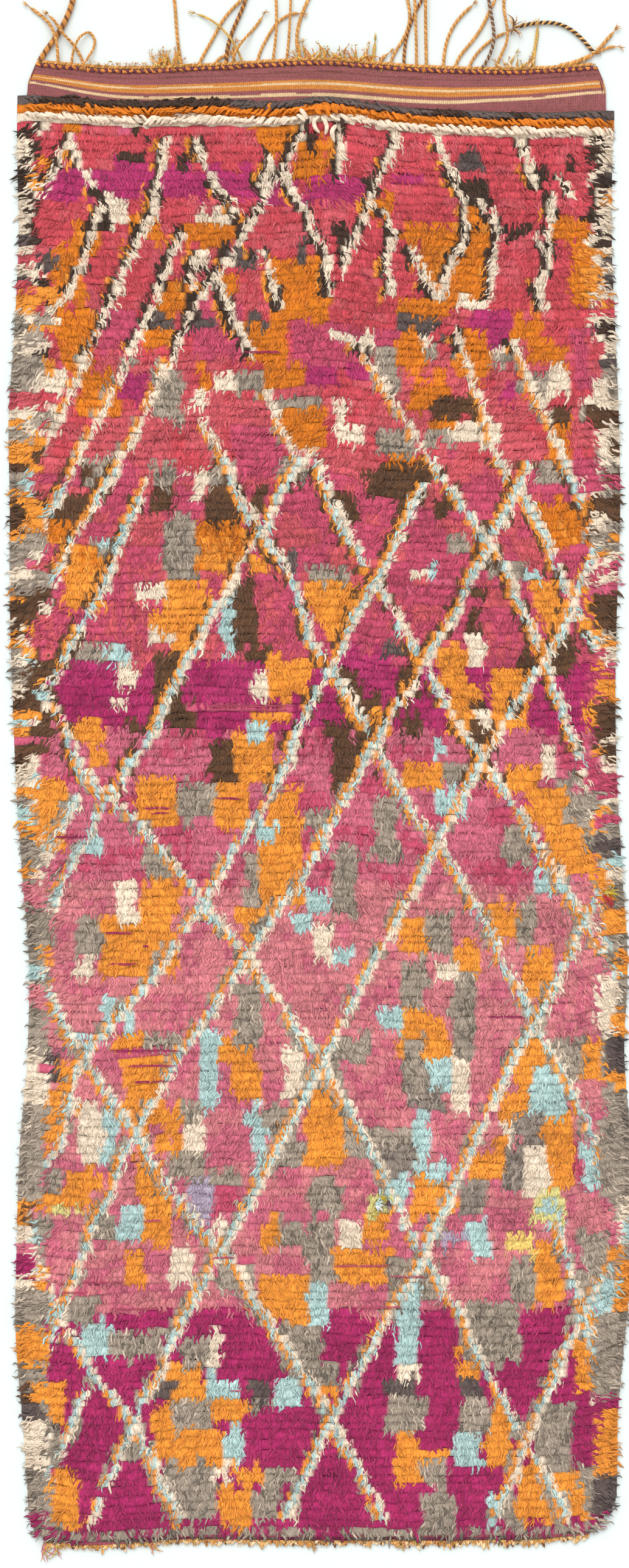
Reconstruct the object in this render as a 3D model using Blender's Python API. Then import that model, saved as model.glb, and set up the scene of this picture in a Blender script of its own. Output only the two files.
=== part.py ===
"""A long hand-knotted wool rug with a shaggy pile, laid flat with its pile up.

The woven ground runs the whole length and ends at the head in a bare flat-woven band. The pile
lies on the ground as a lumpy slab with locks of wool along its rim. A twined cord closes the
head edge, and the warp ends run out of it as twisted cords. Short warp ends fringe the foot.
X runs across the rug, Y from the foot to the head and Z up. The origin is on the underside.
"""

import math

import bmesh
import bpy
from mathutils import Vector, noise

# Driving sizes, in metres
WOVEN_LENGTH = 2.81
GROUND_THICKNESS = 0.004
PILE_THICKNESS = 0.021
PIECE_GAP = 0.0004

# The woven outline, as uneven as the rug lies
SELVEDGES = (  # up from the foot, left of the middle, right of the middle
    (0.00, 0.528, 0.520),
    (0.03, 0.538, 0.548),
    (0.09, 0.544, 0.554),
    (0.21, 0.552, 0.556),
    (0.38, 0.566, 0.572),
    (0.55, 0.564, 0.585),
    (0.73, 0.558, 0.581),
    (0.90, 0.544, 0.568),
    (1.08, 0.540, 0.574),
    (1.25, 0.553, 0.564),
    (1.43, 0.565, 0.554),
    (1.60, 0.572, 0.551),
    (1.77, 0.577, 0.554),
    (1.95, 0.577, 0.560),
    (2.12, 0.579, 0.558),
    (2.30, 0.567, 0.551),
    (2.47, 0.560, 0.544),
    (2.64, 0.563, 0.545),
    (2.75, 0.560, 0.548),
    (2.81, 0.543, 0.532),
)
HEAD_EDGE = (  # across, out from the mean edge
    (-0.55, 0.003),
    (-0.38, -0.010),
    (-0.20, -0.004),
    (0.00, 0.005),
    (0.20, -0.008),
    (0.38, -0.012),
    (0.55, -0.002),
)
FOOT_EDGE = (  # across, out from the mean edge
    (-0.54, 0.002),
    (-0.44, 0.012),
    (-0.26, 0.001),
    (0.00, 0.003),
    (0.40, 0.001),
    (0.50, -0.008),
    (0.56, -0.026),
)
BAND_LENGTH = (  # across, length of the bare band at the head
    (-0.56, 0.062),
    (-0.38, 0.060),
    (-0.20, 0.064),
    (-0.09, 0.074),
    (0.02, 0.066),
    (0.11, 0.075),
    (0.30, 0.077),
    (0.55, 0.086),
)

# Ground cloth
GROUND_COLUMNS = 30
GROUND_ROWS = 56
SELVEDGE_INSET = 0.0022
RIPPLE_HEIGHT = 0.0045
RIPPLE_MIDDLE = 0.01
RIPPLE_WIDTH = 0.09
RIPPLE_START = 0.3
FLAT_ANGLE = math.radians(0.05)

# Pile
PILE_COLUMNS = 16
PILE_ROWS = 66
PILE_FOOT_MARGIN = 0.011
RIM_HEIGHT = 0.010
RIM_WIDTH = 0.05
LUMP_HEIGHT = 0.0045
LUMPS_PER_METRE = (14.0, 22.0)
SIDE_LOCK_LENGTH = (0.014, 0.025)
FOOT_LOCK_LENGTH = (0.008, 0.013)
LOCK_SWAY = 0.6
LOCK_STEPS = (  # share of the length, share of the width left
    (0.35, 0.62),
    (1.00, 0.14),
)
SIDE_TIP_HEIGHT = 0.004
FOOT_TIP_HEIGHT = 0.0075

# Head cords
HEADING_DIAMETER = 0.007
CORD_STEP = 0.018
CORD_REST = 0.0002
CORD_REST_STEP = 0.00004
CORD_CLEARANCE = 0.0008
HUMP_REACH = 0.038
TIP_SHARE = 0.45
CORDS = (  # across, length, leans from root to tip in degrees, diameter
    (-0.534, 0.150, (30, 36, 30, 20, 8), 0.0100),
    (-0.498, 0.132, (0, -8, -26, -50, -54), 0.0065),
    (-0.448, 0.122, (-20, -30, -46, -32, -56), 0.0060),
    (-0.262, 0.150, (-14, -6, -4, -10), 0.0065),
    (-0.231, 0.160, (26, 30, 28, 42, 48), 0.0065),
    (-0.201, 0.036, (20, 62, 66), 0.0060),
    (-0.178, 0.158, (0, 14, 24, 20, 4), 0.0080),
    (-0.160, 0.042, (-24, -6, 36), 0.0055),
    (-0.146, 0.138, (-20, -34, -52, -74), 0.0050),
    (-0.166, 0.113, (12, 34, 40, 30), 0.0060),
    (-0.119, 0.138, (14, 26, 34, 60, 98), 0.0060),
    (-0.089, 0.152, (10, 4, -2, -2), 0.0060),
    (-0.063, 0.152, (8, 4, 2, 2), 0.0055),
    (-0.035, 0.160, (-24, 0, 18, 24, 22), 0.0070),
    (-0.022, 0.035, (-28, -20, 2), 0.0045),
    (0.102, 0.044, (5, 6, 8), 0.0070),
    (0.114, 0.030, (22, 46, 60), 0.0070),
    (0.135, 0.158, (16, 32, 16, -10, -12), 0.0060),
    (0.161, 0.160, (0, 8, 20, 28, 32), 0.0065),
    (0.185, 0.150, (0, -2, -2), 0.0060),
    (0.204, 0.152, (-1, -1, 1), 0.0065),
    (0.236, 0.142, (3, 10, 26, 42, 52), 0.0065),
    (0.258, 0.160, (16, 40, 34, 24, 32), 0.0065),
    (0.284, 0.108, (22, 40, 56, 72), 0.0060),
    (0.310, 0.158, (36, 18, -6, -10, -2), 0.0070),
    (0.336, 0.156, (16, 26, -6, -6, 24), 0.0060),
    (0.361, 0.034, (24, 20, 44), 0.0045),
    (0.408, 0.084, (-2, 8, 8, 0), 0.0070),
)
LOOP = (-0.473, 0.150, (6, 14, 28, 52, 150, 196, 212, 204), 0.0055)
CORNER_PLAIT = (0.455, 0.076, (84, 70, 64), 0.0090)
CORNER_CORDS = (  # length, leans from root to tip in degrees, diameter
    (0.176, (-38, -44, -60, -86, -98, -112), 0.0075),
    (0.060, (44, 40, 42), 0.0070),
    (0.050, (60, 72, 92), 0.0060),
)
HEAD_TUFTS = (  # middle, width, strands, height
    (-0.285, 0.034, 4, 0.030),
    (0.000, 0.044, 5, 0.028),
    (0.066, 0.036, 4, 0.024),
    (0.384, 0.040, 3, 0.018),
)
TUFT_FAN = 42
TUFT_SPREAD = 1.5
TUFT_DIAMETER = 0.0048

# Foot fringe
FOOT_STRIP_DIAMETER = 0.0055
FOOT_LOCKS = 40
FOOT_LOCK_REACH = (0.008, 0.015)
FOOT_LOCK_DIAMETER = 0.0048
FOOT_BUNDLES = (  # across, length, lean
    (-0.524, 0.044, -14),
    (-0.503, 0.040, 12),
    (-0.320, 0.026, 8),
    (-0.012, 0.022, 4),
    (0.163, 0.022, -6),
)
BUNDLE_DIAMETER = 0.007

# Materials: base colour, roughness
GROUND_WOOL = ((0.24, 0.07, 0.12), 0.9)
PILE_WOOL = ((0.62, 0.09, 0.20), 0.95)
WARP_WOOL = ((0.66, 0.30, 0.09), 0.9)

HEAD_Y = WOVEN_LENGTH / 2
FOOT_Y = -WOVEN_LENGTH / 2
PILE_FLOOR = GROUND_THICKNESS + PIECE_GAP


def clear_scene():
    """Starts from an empty scene."""
    for thing in list(bpy.data.objects):
        bpy.data.objects.remove(thing, do_unlink=True)


def smooth_through(rows, at, column=1):
    """The value at a place, on a smooth curve through a table's rows."""
    places = [row[0] for row in rows]
    values = [row[column] for row in rows]
    if at <= places[0]:
        return values[0]
    if at >= places[-1]:
        return values[-1]
    i = max(k for k in range(len(places) - 1) if places[k] <= at)

    def slope(k):
        low, high = max(k - 1, 0), min(k + 1, len(places) - 1)
        return (values[high] - values[low]) / (places[high] - places[low])

    span = places[i + 1] - places[i]
    t = (at - places[i]) / span
    return (
        (2 * t**3 - 3 * t**2 + 1) * values[i]
        + (t**3 - 2 * t**2 + t) * span * slope(i)
        + (3 * t**2 - 2 * t**3) * values[i + 1]
        + (t**3 - t**2) * span * slope(i + 1)
    )


def unevenness(*numbers):
    """A repeatable number from 0 to 1 that looks like chance."""
    return 0.5 + 0.5 * noise.noise(Vector([n * 3.7 + 0.31 for n in (*numbers, 0, 0)][:3]) * 1.7)


def between(limits, share):
    """The value at a share of the way between two limits."""
    return limits[0] + (limits[1] - limits[0]) * share


def head_edge(x):
    return HEAD_Y + smooth_through(HEAD_EDGE, x)


def foot_edge(x):
    return FOOT_Y - smooth_through(FOOT_EDGE, x)


def pile_head_edge(x):
    return head_edge(x) - smooth_through(BAND_LENGTH, x)


def pile_foot_edge(x):
    return foot_edge(x) + PILE_FOOT_MARGIN


def across(share, y, margin):
    """The place across the rug at a share of its width; margin widens or narrows it."""
    up = y - FOOT_Y
    left = smooth_through(SELVEDGES, up, 1) + margin
    right = smooth_through(SELVEDGES, up, 2) + margin
    return -left + share * (left + right)


def ripple(x, y):
    """Height of the soft pucker in the bare band, highest at the head edge."""
    near = max(0.0, 1 - abs(x - RIPPLE_MIDDLE) / RIPPLE_WIDTH)
    fall = (y - pile_head_edge(x)) / (head_edge(x) - pile_head_edge(x))
    rise = min(max((fall - RIPPLE_START) / (1 - RIPPLE_START), 0.0), 1.0)
    return RIPPLE_HEIGHT * (3 * near**2 - 2 * near**3) * (3 * rise**2 - 2 * rise**3)


def material(name, finish):
    """A matt wool material."""
    colour, roughness = finish
    made = bpy.data.materials.new(name)
    made.use_nodes = True
    shader = made.node_tree.nodes["Principled BSDF"]
    shader.inputs["Base Color"].default_value = (*colour, 1)
    shader.inputs["Roughness"].default_value = roughness
    shader.inputs["Metallic"].default_value = 0
    return made


def grid_object(name, columns, rows, collection):
    """A flat grid from 0 to 1 in X and in Y, ready to be shaped."""
    bpy.ops.mesh.primitive_grid_add(
        x_subdivisions=columns, y_subdivisions=rows, size=1, location=(0, 0, 0)
    )
    made = bpy.context.object
    made.name = made.data.name = name
    for holder in list(made.users_collection):
        holder.objects.unlink(made)
    collection.objects.link(made)
    for vertex in made.data.vertices:
        vertex.co += Vector((0.5, 0.5, 0))
    return made


def thicken_down(shape, underside):
    """Closes a sheet with a copy of it below, at the height that underside gives, and walls."""
    top = list(shape.faces)
    made = bmesh.ops.extrude_face_region(shape, geom=top, use_keep_orig=True)
    for vertex in (v for v in made["geom"] if isinstance(v, bmesh.types.BMVert)):
        vertex.co.z = underside(vertex.co.x, vertex.co.y)
    bmesh.ops.recalc_face_normals(shape, faces=list(shape.faces))


def ground_cloth(collection, finish):
    """The woven ground: a thin flat sheet, puckered only at the middle of its bare band."""
    sheet = grid_object("ground_cloth", GROUND_COLUMNS, GROUND_ROWS, collection)
    shape = bmesh.new()
    shape.from_mesh(sheet.data)
    for vertex in shape.verts:
        share, up = vertex.co.x, vertex.co.y
        x = across(share, FOOT_Y + up * WOVEN_LENGTH, -SELVEDGE_INSET)
        y = foot_edge(x) + up * (head_edge(x) - foot_edge(x))
        vertex.co = (x, y, GROUND_THICKNESS + ripple(x, y))
    thicken_down(shape, ripple)
    bmesh.ops.dissolve_limit(
        shape, angle_limit=FLAT_ANGLE, verts=list(shape.verts), edges=list(shape.edges)
    )
    shape.to_mesh(sheet.data)
    shape.free()
    sheet.data.materials.append(finish)
    return sheet


def pile_top(x, y, share):
    """Height of the pile's top: lumps of matted wool, lower along the rim."""
    wide = (1 - abs(2 * share - 1)) * (across(1, y, 0) - across(0, y, 0)) / 2
    ends = min(y - pile_foot_edge(x), pile_head_edge(x) - y)
    inward = min(wide, ends)
    rise = math.sqrt(min(max(inward / RIM_WIDTH, 0.0), 1.0))
    bump = noise.noise(Vector((x * LUMPS_PER_METRE[0], y * LUMPS_PER_METRE[1], 0.5)))
    body = PILE_THICKNESS + LUMP_HEIGHT * 2 * bump
    return PILE_FLOOR + RIM_HEIGHT + (body - RIM_HEIGHT) * rise


def grow_locks(shape, faces, limits, tip_height):
    """Draws each rim face out into a tapering lock of wool that droops to its tip."""
    for number, face in enumerate(faces):
        normal = face.normal.copy()
        normal.z = 0
        normal.normalize()
        centre = face.calc_center_median()
        sway = LOCK_SWAY * (unevenness(number, centre.y * 9, 3) - 0.62)
        way = (normal + Vector((-normal.y, normal.x, 0)) * sway).normalized()
        length = between(limits, unevenness(centre.x * 40, centre.y * 31, number))
        corners = [v.co - centre for v in face.verts]
        for reach, width in LOCK_STEPS:
            made = bmesh.ops.extrude_discrete_faces(shape, faces=[face])
            face = made["faces"][0]
            fall = (tip_height - centre.z) * reach**1.3
            middle = centre + way * length * reach + Vector((0, 0, fall))
            for vertex, corner in zip(face.verts, corners):
                vertex.co = middle + corner * width


def rim_faces(shape, side):
    """The wall faces that look the way that side says."""
    return sorted(
        (f for f in shape.faces if abs(f.normal.z) < 0.3 and f.normal.dot(side) > 0.8),
        key=lambda f: (round(f.calc_center_median().y, 3), f.calc_center_median().x),
    )


def pile(collection, finish):
    """The shag: one lumpy slab on the ground, with locks at its sides and its foot."""
    slab = grid_object("pile", PILE_COLUMNS, PILE_ROWS, collection)
    shape = bmesh.new()
    shape.from_mesh(slab.data)
    foot_edges = [e for e in shape.edges if all(v.co.y < 1e-5 for v in e.verts)]
    bmesh.ops.subdivide_edges(shape, edges=foot_edges, cuts=1)
    for vertex in shape.verts:
        share, up = vertex.co.x, vertex.co.y
        y = pile_foot_edge(0) + up * (pile_head_edge(0) - pile_foot_edge(0))
        x = across(share, y, 0)
        y = pile_foot_edge(x) + up * (pile_head_edge(x) - pile_foot_edge(x))
        vertex.co = (x, y, pile_top(x, y, share))
    thicken_down(shape, lambda x, y: PILE_FLOOR)
    bmesh.ops.dissolve_limit(
        shape,
        angle_limit=FLAT_ANGLE,
        verts=[v for v in shape.verts if v.co.z < PILE_FLOOR + 1e-6],
        edges=[e for e in shape.edges if all(v.co.z < PILE_FLOOR + 1e-6 for v in e.verts)],
    )
    sides = rim_faces(shape, Vector((-1, 0, 0))) + rim_faces(shape, Vector((1, 0, 0)))
    foot = rim_faces(shape, Vector((0, -1, 0)))
    grow_locks(shape, sides, SIDE_LOCK_LENGTH, SIDE_TIP_HEIGHT)
    grow_locks(shape, foot, FOOT_LOCK_LENGTH, FOOT_TIP_HEIGHT)
    shape.to_mesh(slab.data)
    shape.free()
    slab.data.materials.append(finish)
    return slab


def lean_at(leans, share):
    """The lean from +Y, in radians, on a smooth curve through evenly spaced leans."""
    places = [(n / (len(leans) - 1), lean) for n, lean in enumerate(leans)]
    return math.radians(smooth_through(places, share))


def cord_route(root, length, leans):
    """Points on the floor from a root along a cord that bends as its leans say."""
    steps = max(2, round(length / CORD_STEP))
    fine = 8
    x, y = root
    route = [(x, y)]
    for step in range(steps * fine):
        lean = lean_at(leans, (step + 0.5) / (steps * fine))
        x += math.sin(lean) * length / (steps * fine)
        y += math.cos(lean) * length / (steps * fine)
        if (step + 1) % fine == 0:
            route.append((x, y))
    return route


def laid_heights(route, radius, below, rest):
    """Heights of a cord's points, over the cords that already lie below it."""
    flat = rest + radius
    lows = [flat] * len(route)
    for other, other_heights, other_radius in below:
        for (ax, ay), lift in zip(other[1:], other_heights[1:]):
            for i, (x, y) in enumerate(route[1:], 1):
                apart = math.hypot(x - ax, y - ay)
                over = lift + other_radius + radius + CORD_CLEARANCE
                share = max(0.0, 1 - max(apart - CORD_STEP / 2, 0) / HUMP_REACH)
                eased = 3 * share**2 - 2 * share**3
                lows[i] = max(lows[i], flat + (over - flat) * eased)
    lows[0] = flat
    return lows


def crosses(route, other):
    """Whether two routes cross anywhere past their roots."""

    def side(p, q, r):
        return (q[0] - p[0]) * (r[1] - p[1]) - (q[1] - p[1]) * (r[0] - p[0])

    for a, b in zip(route[1:], route[2:]):
        for c, d in zip(other[1:], other[2:]):
            if side(a, b, c) * side(a, b, d) < 0 and side(c, d, a) * side(c, d, b) < 0:
                return True
    return False


def tube(name, points, diameter, collection, tip=1.0, sides=4):
    """A closed tube along a line of points, its last point narrowed to a tip."""
    curve = bpy.data.curves.new(name, "CURVE")
    curve.dimensions = "3D"
    curve.twist_mode = "Z_UP"
    curve.bevel_depth = diameter / 2
    curve.bevel_resolution = (sides - 4) // 2
    curve.use_fill_caps = True
    spline = curve.splines.new("POLY")
    spline.points.add(len(points) - 1)
    for point, place in zip(spline.points, points):
        point.co = (*place, 1)
        point.tilt = math.pi / 4 if sides == 4 else 0
    spline.points[-1].radius = tip
    made = bpy.data.objects.new(name, curve)
    collection.objects.link(made)
    return made


def as_mesh(thing, collection):
    """A curve object made into a closed mesh object in its place."""
    bpy.context.view_layer.update()
    seen = thing.evaluated_get(bpy.context.evaluated_depsgraph_get())
    mesh = bpy.data.meshes.new_from_object(seen)
    made = bpy.data.objects.new(thing.name + "_solid", mesh)
    made.matrix_world = thing.matrix_world.copy()
    shape = bmesh.new()
    shape.from_mesh(mesh)
    bmesh.ops.remove_doubles(shape, verts=list(shape.verts), dist=1e-6)
    bmesh.ops.recalc_face_normals(shape, faces=list(shape.faces))
    shape.to_mesh(mesh)
    shape.free()
    collection.objects.link(made)
    bpy.data.objects.remove(thing, do_unlink=True)
    return made


def fuse(name, backing, strands, collection, finish):
    """A backing strip with its strands joined on at their roots."""
    backing.name = backing.data.name = name
    union = backing.modifiers.new("strands", "BOOLEAN")
    union.operation = "UNION"
    union.solver = "EXACT"
    union.operand_type = "COLLECTION"
    union.collection = strands
    for strand in strands.objects:
        strand.hide_render = True
        strand.display_type = "WIRE"
    for holder in list(backing.users_collection):
        holder.objects.unlink(backing)
    collection.objects.link(backing)
    backing.data.materials.append(finish)
    return backing


def edge_strip(edge, outward, diameter, corner_y):
    """Points of a cord that lies along an end edge, a gap away from the ground's columns."""
    points = []
    for column in range(GROUND_COLUMNS + 1):
        x = across(column / GROUND_COLUMNS, corner_y, -SELVEDGE_INSET)
        y = edge(x) + outward * (PIECE_GAP + diameter / 2)
        lift = ripple(x, edge(x)) if outward > 0 else 0
        points.append((x, y, diameter / 2 + lift))
    return points


def head_fringe(collection, workshop, finish):
    """The twined heading cord, with the twisted warp ends that run out of it."""
    strip = edge_strip(head_edge, 1, HEADING_DIAMETER, HEAD_Y)
    backing = as_mesh(tube("heading", strip, HEADING_DIAMETER, workshop, sides=6), workshop)
    strands = bpy.data.collections.new("head_strands")
    workshop.children.link(strands)
    laid = []

    def lay(root, length, leans, diameter, tip=TIP_SHARE):
        route = cord_route(root, length, leans)
        below = [item for item in laid if crosses(route, item[0])]
        rest = CORD_REST + CORD_REST_STEP * (len(laid) % 7)
        heights = laid_heights(route, diameter / 2, below, rest)
        lift = ripple(root[0], head_edge(root[0]))
        fall = [lift * max(0.0, 1 - i * CORD_STEP / 0.05) for i in range(len(route))]
        laid.append((route, heights, diameter / 2))
        points = [(x, y, z + f) for (x, y), z, f in zip(route, heights, fall)]
        as_mesh(tube(f"strand_{len(laid)}", points, diameter, strands, tip), strands)
        return route[-1]

    def root_at(x, lean, diameter):
        back = max(HEADING_DIAMETER * 0.4, diameter / 2 * abs(math.sin(math.radians(lean))))
        return (x, head_edge(x) + 2 * PIECE_GAP + back)

    for x, length, leans, diameter in CORDS:
        lay(root_at(x, leans[0], diameter), length, leans, diameter)
    x, length, leans, diameter = LOOP
    lay(root_at(x, leans[0], diameter), length, leans, diameter, tip=1.0)
    x, length, leans, diameter = CORNER_PLAIT
    corner = lay(root_at(x, leans[0], diameter), length, leans, diameter, tip=1.0)
    for length, leans, diameter in CORNER_CORDS:
        lay((corner[0] - 0.002, corner[1]), length, leans, diameter)
    for middle_x, width, count, height in HEAD_TUFTS:
        for n in range(count):
            share = n / (count - 1) - 0.5
            fan = share * 2 * TUFT_FAN
            root = root_at(middle_x + share * width, fan, TUFT_DIAMETER)
            lay(root, height, (fan, fan, fan * TUFT_SPREAD), TUFT_DIAMETER)
    return fuse("head_fringe", backing, strands, collection, finish)


def foot_fringe(collection, workshop, finish):
    """The line of cut warp ends along the foot, with short locks and a few longer bundles."""
    strip = edge_strip(foot_edge, -1, FOOT_STRIP_DIAMETER, FOOT_Y)
    backing = as_mesh(tube("foot_line", strip, FOOT_STRIP_DIAMETER, workshop, sides=6), workshop)
    strands = bpy.data.collections.new("foot_strands")
    workshop.children.link(strands)

    def lay(x, length, lean, diameter):
        y = foot_edge(x) - PIECE_GAP - FOOT_STRIP_DIAMETER * 0.45
        route = cord_route((x, y), length, (180 - lean, 180 - lean, 180 - lean * 2.2))
        points = [(px, py, CORD_REST + diameter / 2) for px, py in route]
        name = f"lock_{len(strands.objects)}"
        as_mesh(tube(name, points, diameter, strands, TIP_SHARE), strands)

    bundles = [x for x, _, _ in FOOT_BUNDLES]
    left, right = strip[0][0] + 0.008, strip[-1][0] - 0.008
    for n in range(FOOT_LOCKS):
        x = left + (right - left) * (n + 0.5) / FOOT_LOCKS
        if min(abs(x - taken) for taken in bundles) > BUNDLE_DIAMETER * 1.4:
            share = unevenness(n, 5, 2)
            lay(x, between(FOOT_LOCK_REACH, share), 70 * (share - 0.5), FOOT_LOCK_DIAMETER)
    for x, length, lean in FOOT_BUNDLES:
        lay(x, length, lean, BUNDLE_DIAMETER)
    return fuse("foot_fringe", backing, strands, collection, finish)


def main():
    clear_scene()
    rug = bpy.data.collections.new("knotted_rug")
    workshop = bpy.data.collections.new("workshop")
    bpy.context.scene.collection.children.link(rug)
    bpy.context.scene.collection.children.link(workshop)
    ground_cloth(rug, material("ground_wool", GROUND_WOOL))
    pile(rug, material("pile_wool", PILE_WOOL))
    warp = material("warp_wool", WARP_WOOL)
    head_fringe(rug, workshop, warp)
    foot_fringe(rug, workshop, warp)


main()
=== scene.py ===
"""The looks of a long shaggy hand-knotted wool rug, laid flat and seen from straight above.

The woven ground, every tuft of the pile, the twisted warp cords at the head and the cut warp
ends at the foot are meshes made from arrays. The pile takes its colours from a chart drawn
in squares of 11.6 mm: a field in bands, dashes of colour, and the lines of a loose
lozenge lattice. X runs across the rug, Y from the foot to the head and Z up.
"""

import math

import bpy
import numpy as np
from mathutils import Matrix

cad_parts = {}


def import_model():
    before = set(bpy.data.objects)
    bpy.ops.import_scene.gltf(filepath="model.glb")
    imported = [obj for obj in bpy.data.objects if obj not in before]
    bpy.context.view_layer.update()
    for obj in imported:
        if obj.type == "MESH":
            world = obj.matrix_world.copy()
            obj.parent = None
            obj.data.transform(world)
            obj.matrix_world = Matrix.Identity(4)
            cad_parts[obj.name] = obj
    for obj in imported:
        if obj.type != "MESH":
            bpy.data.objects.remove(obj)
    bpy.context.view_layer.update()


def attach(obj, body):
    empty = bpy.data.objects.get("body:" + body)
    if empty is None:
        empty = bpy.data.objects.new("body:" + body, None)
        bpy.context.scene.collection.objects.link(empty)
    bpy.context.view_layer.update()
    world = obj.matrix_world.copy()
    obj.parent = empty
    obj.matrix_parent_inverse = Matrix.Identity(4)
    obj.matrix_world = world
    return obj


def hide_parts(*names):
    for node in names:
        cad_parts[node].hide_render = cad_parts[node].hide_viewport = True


SEED = 41

# Sizes of the construction, in metres, as in the part's source
WOVEN_LENGTH = 2.81
GROUND_THICKNESS = 0.004
PIECE_GAP = 0.0004
SELVEDGES = (  # up from the foot, left of the middle, right of the middle
    (0.00, 0.528, 0.520),
    (0.03, 0.538, 0.548),
    (0.09, 0.544, 0.554),
    (0.21, 0.552, 0.556),
    (0.38, 0.566, 0.572),
    (0.55, 0.564, 0.585),
    (0.73, 0.558, 0.581),
    (0.90, 0.544, 0.568),
    (1.08, 0.540, 0.574),
    (1.25, 0.553, 0.564),
    (1.43, 0.565, 0.554),
    (1.60, 0.572, 0.551),
    (1.77, 0.577, 0.554),
    (1.95, 0.577, 0.560),
    (2.12, 0.579, 0.558),
    (2.30, 0.567, 0.551),
    (2.47, 0.560, 0.544),
    (2.64, 0.563, 0.545),
    (2.75, 0.560, 0.548),
    (2.81, 0.543, 0.532),
)
HEAD_EDGE = (  # across, out from the mean edge
    (-0.55, 0.003),
    (-0.38, -0.010),
    (-0.20, -0.004),
    (0.00, 0.005),
    (0.20, -0.008),
    (0.38, -0.012),
    (0.55, -0.002),
)
FOOT_EDGE = (  # across, out from the mean edge
    (-0.54, 0.002),
    (-0.44, 0.012),
    (-0.26, 0.001),
    (0.00, 0.003),
    (0.40, 0.001),
    (0.50, -0.008),
    (0.56, -0.026),
)
BAND_LENGTH = (  # across, length of the bare band at the head
    (-0.56, 0.062),
    (-0.38, 0.060),
    (-0.20, 0.064),
    (-0.09, 0.074),
    (0.02, 0.066),
    (0.11, 0.075),
    (0.30, 0.077),
    (0.55, 0.086),
)
RIPPLE_HEIGHT = 0.0045
RIPPLE_MIDDLE = 0.01
RIPPLE_WIDTH = 0.09
RIPPLE_START = 0.3
SELVEDGE_INSET = 0.0022
PILE_FOOT_MARGIN = 0.011
HEAD_Y = WOVEN_LENGTH / 2
FOOT_Y = -WOVEN_LENGTH / 2

# The chart
SQUARE = 0.0116
CHART_LEFT = -0.609
CHART_TOP = 1.5277
CHART_LENGTH = 400

COLOURS = {  # sRGB, set after the colours that the yarns measure in the photo
    "rose": (203, 76, 86),
    "coral": (206, 90, 99),
    "magenta": (196, 78, 106),
    "pink": (204, 105, 126),
    "blush": (212, 126, 132),
    "berry": (166, 41, 95),
    "deep": (176, 45, 101),
    "purple": (180, 53, 106),
    "orange": (240, 150, 56),
    "amber": (218, 122, 32),
    "cream": (238, 217, 192),
    "black": (68, 50, 40),
    "slate": (98, 84, 80),
    "brown": (98, 68, 47),
    "grey": (162, 147, 131),
    "blue": (180, 208, 204),
    "yellow": (222, 210, 136),
    "lilac": (178, 162, 180),
    "ash": (146, 132, 121),
    "primrose": (248, 210, 118),
    "ground": (204, 92, 118),
    "aubergine": (142, 74, 90),
    "plum": (112, 56, 70),
    "straw": (216, 164, 96),
    "tan": (198, 136, 70),
    "umber": (120, 78, 48),
    "ochre": (212, 132, 58),
    "sand": (236, 204, 160),
    "olive": (200, 172, 84),
    "white": (232, 238, 238),
    "mustard": (204, 172, 44),
    "scarlet": (206, 58, 62),
    "violet": (74, 38, 88),
}
EVEN = (0.07, 0.14)
UNEVEN = {  # how much the tone varies from strand to strand, and from patch to patch
    "grey": (0.36, 0.34),
    "ash": (0.30, 0.30),
    "slate": (0.20, 0.25),
    "brown": (0.13, 0.22),
    "black": (0.15, 0.25),
    "cream": (0.03, 0.04),
    "blue": (0.06, 0.10),
}
COLOUR_NAMES = list(COLOURS)

FIELD = (  # top in squares, yarn, second yarn, share of the second
    (0, "rose", "coral", 0.20),
    (58, "coral", "rose", 0.30),
    (76, "coral", "magenta", 0.50),
    (95, "magenta", "coral", 0.15),
    (109, "deep", "purple", 0.25),
    (120, "pink", "magenta", 0.20),
    (145, "blush", "pink", 0.15),
    (170, "pink", "blush", 0.45),
    (215, "berry", "deep", 0.40),
)
FIELD_WOBBLE = 1.2

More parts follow.
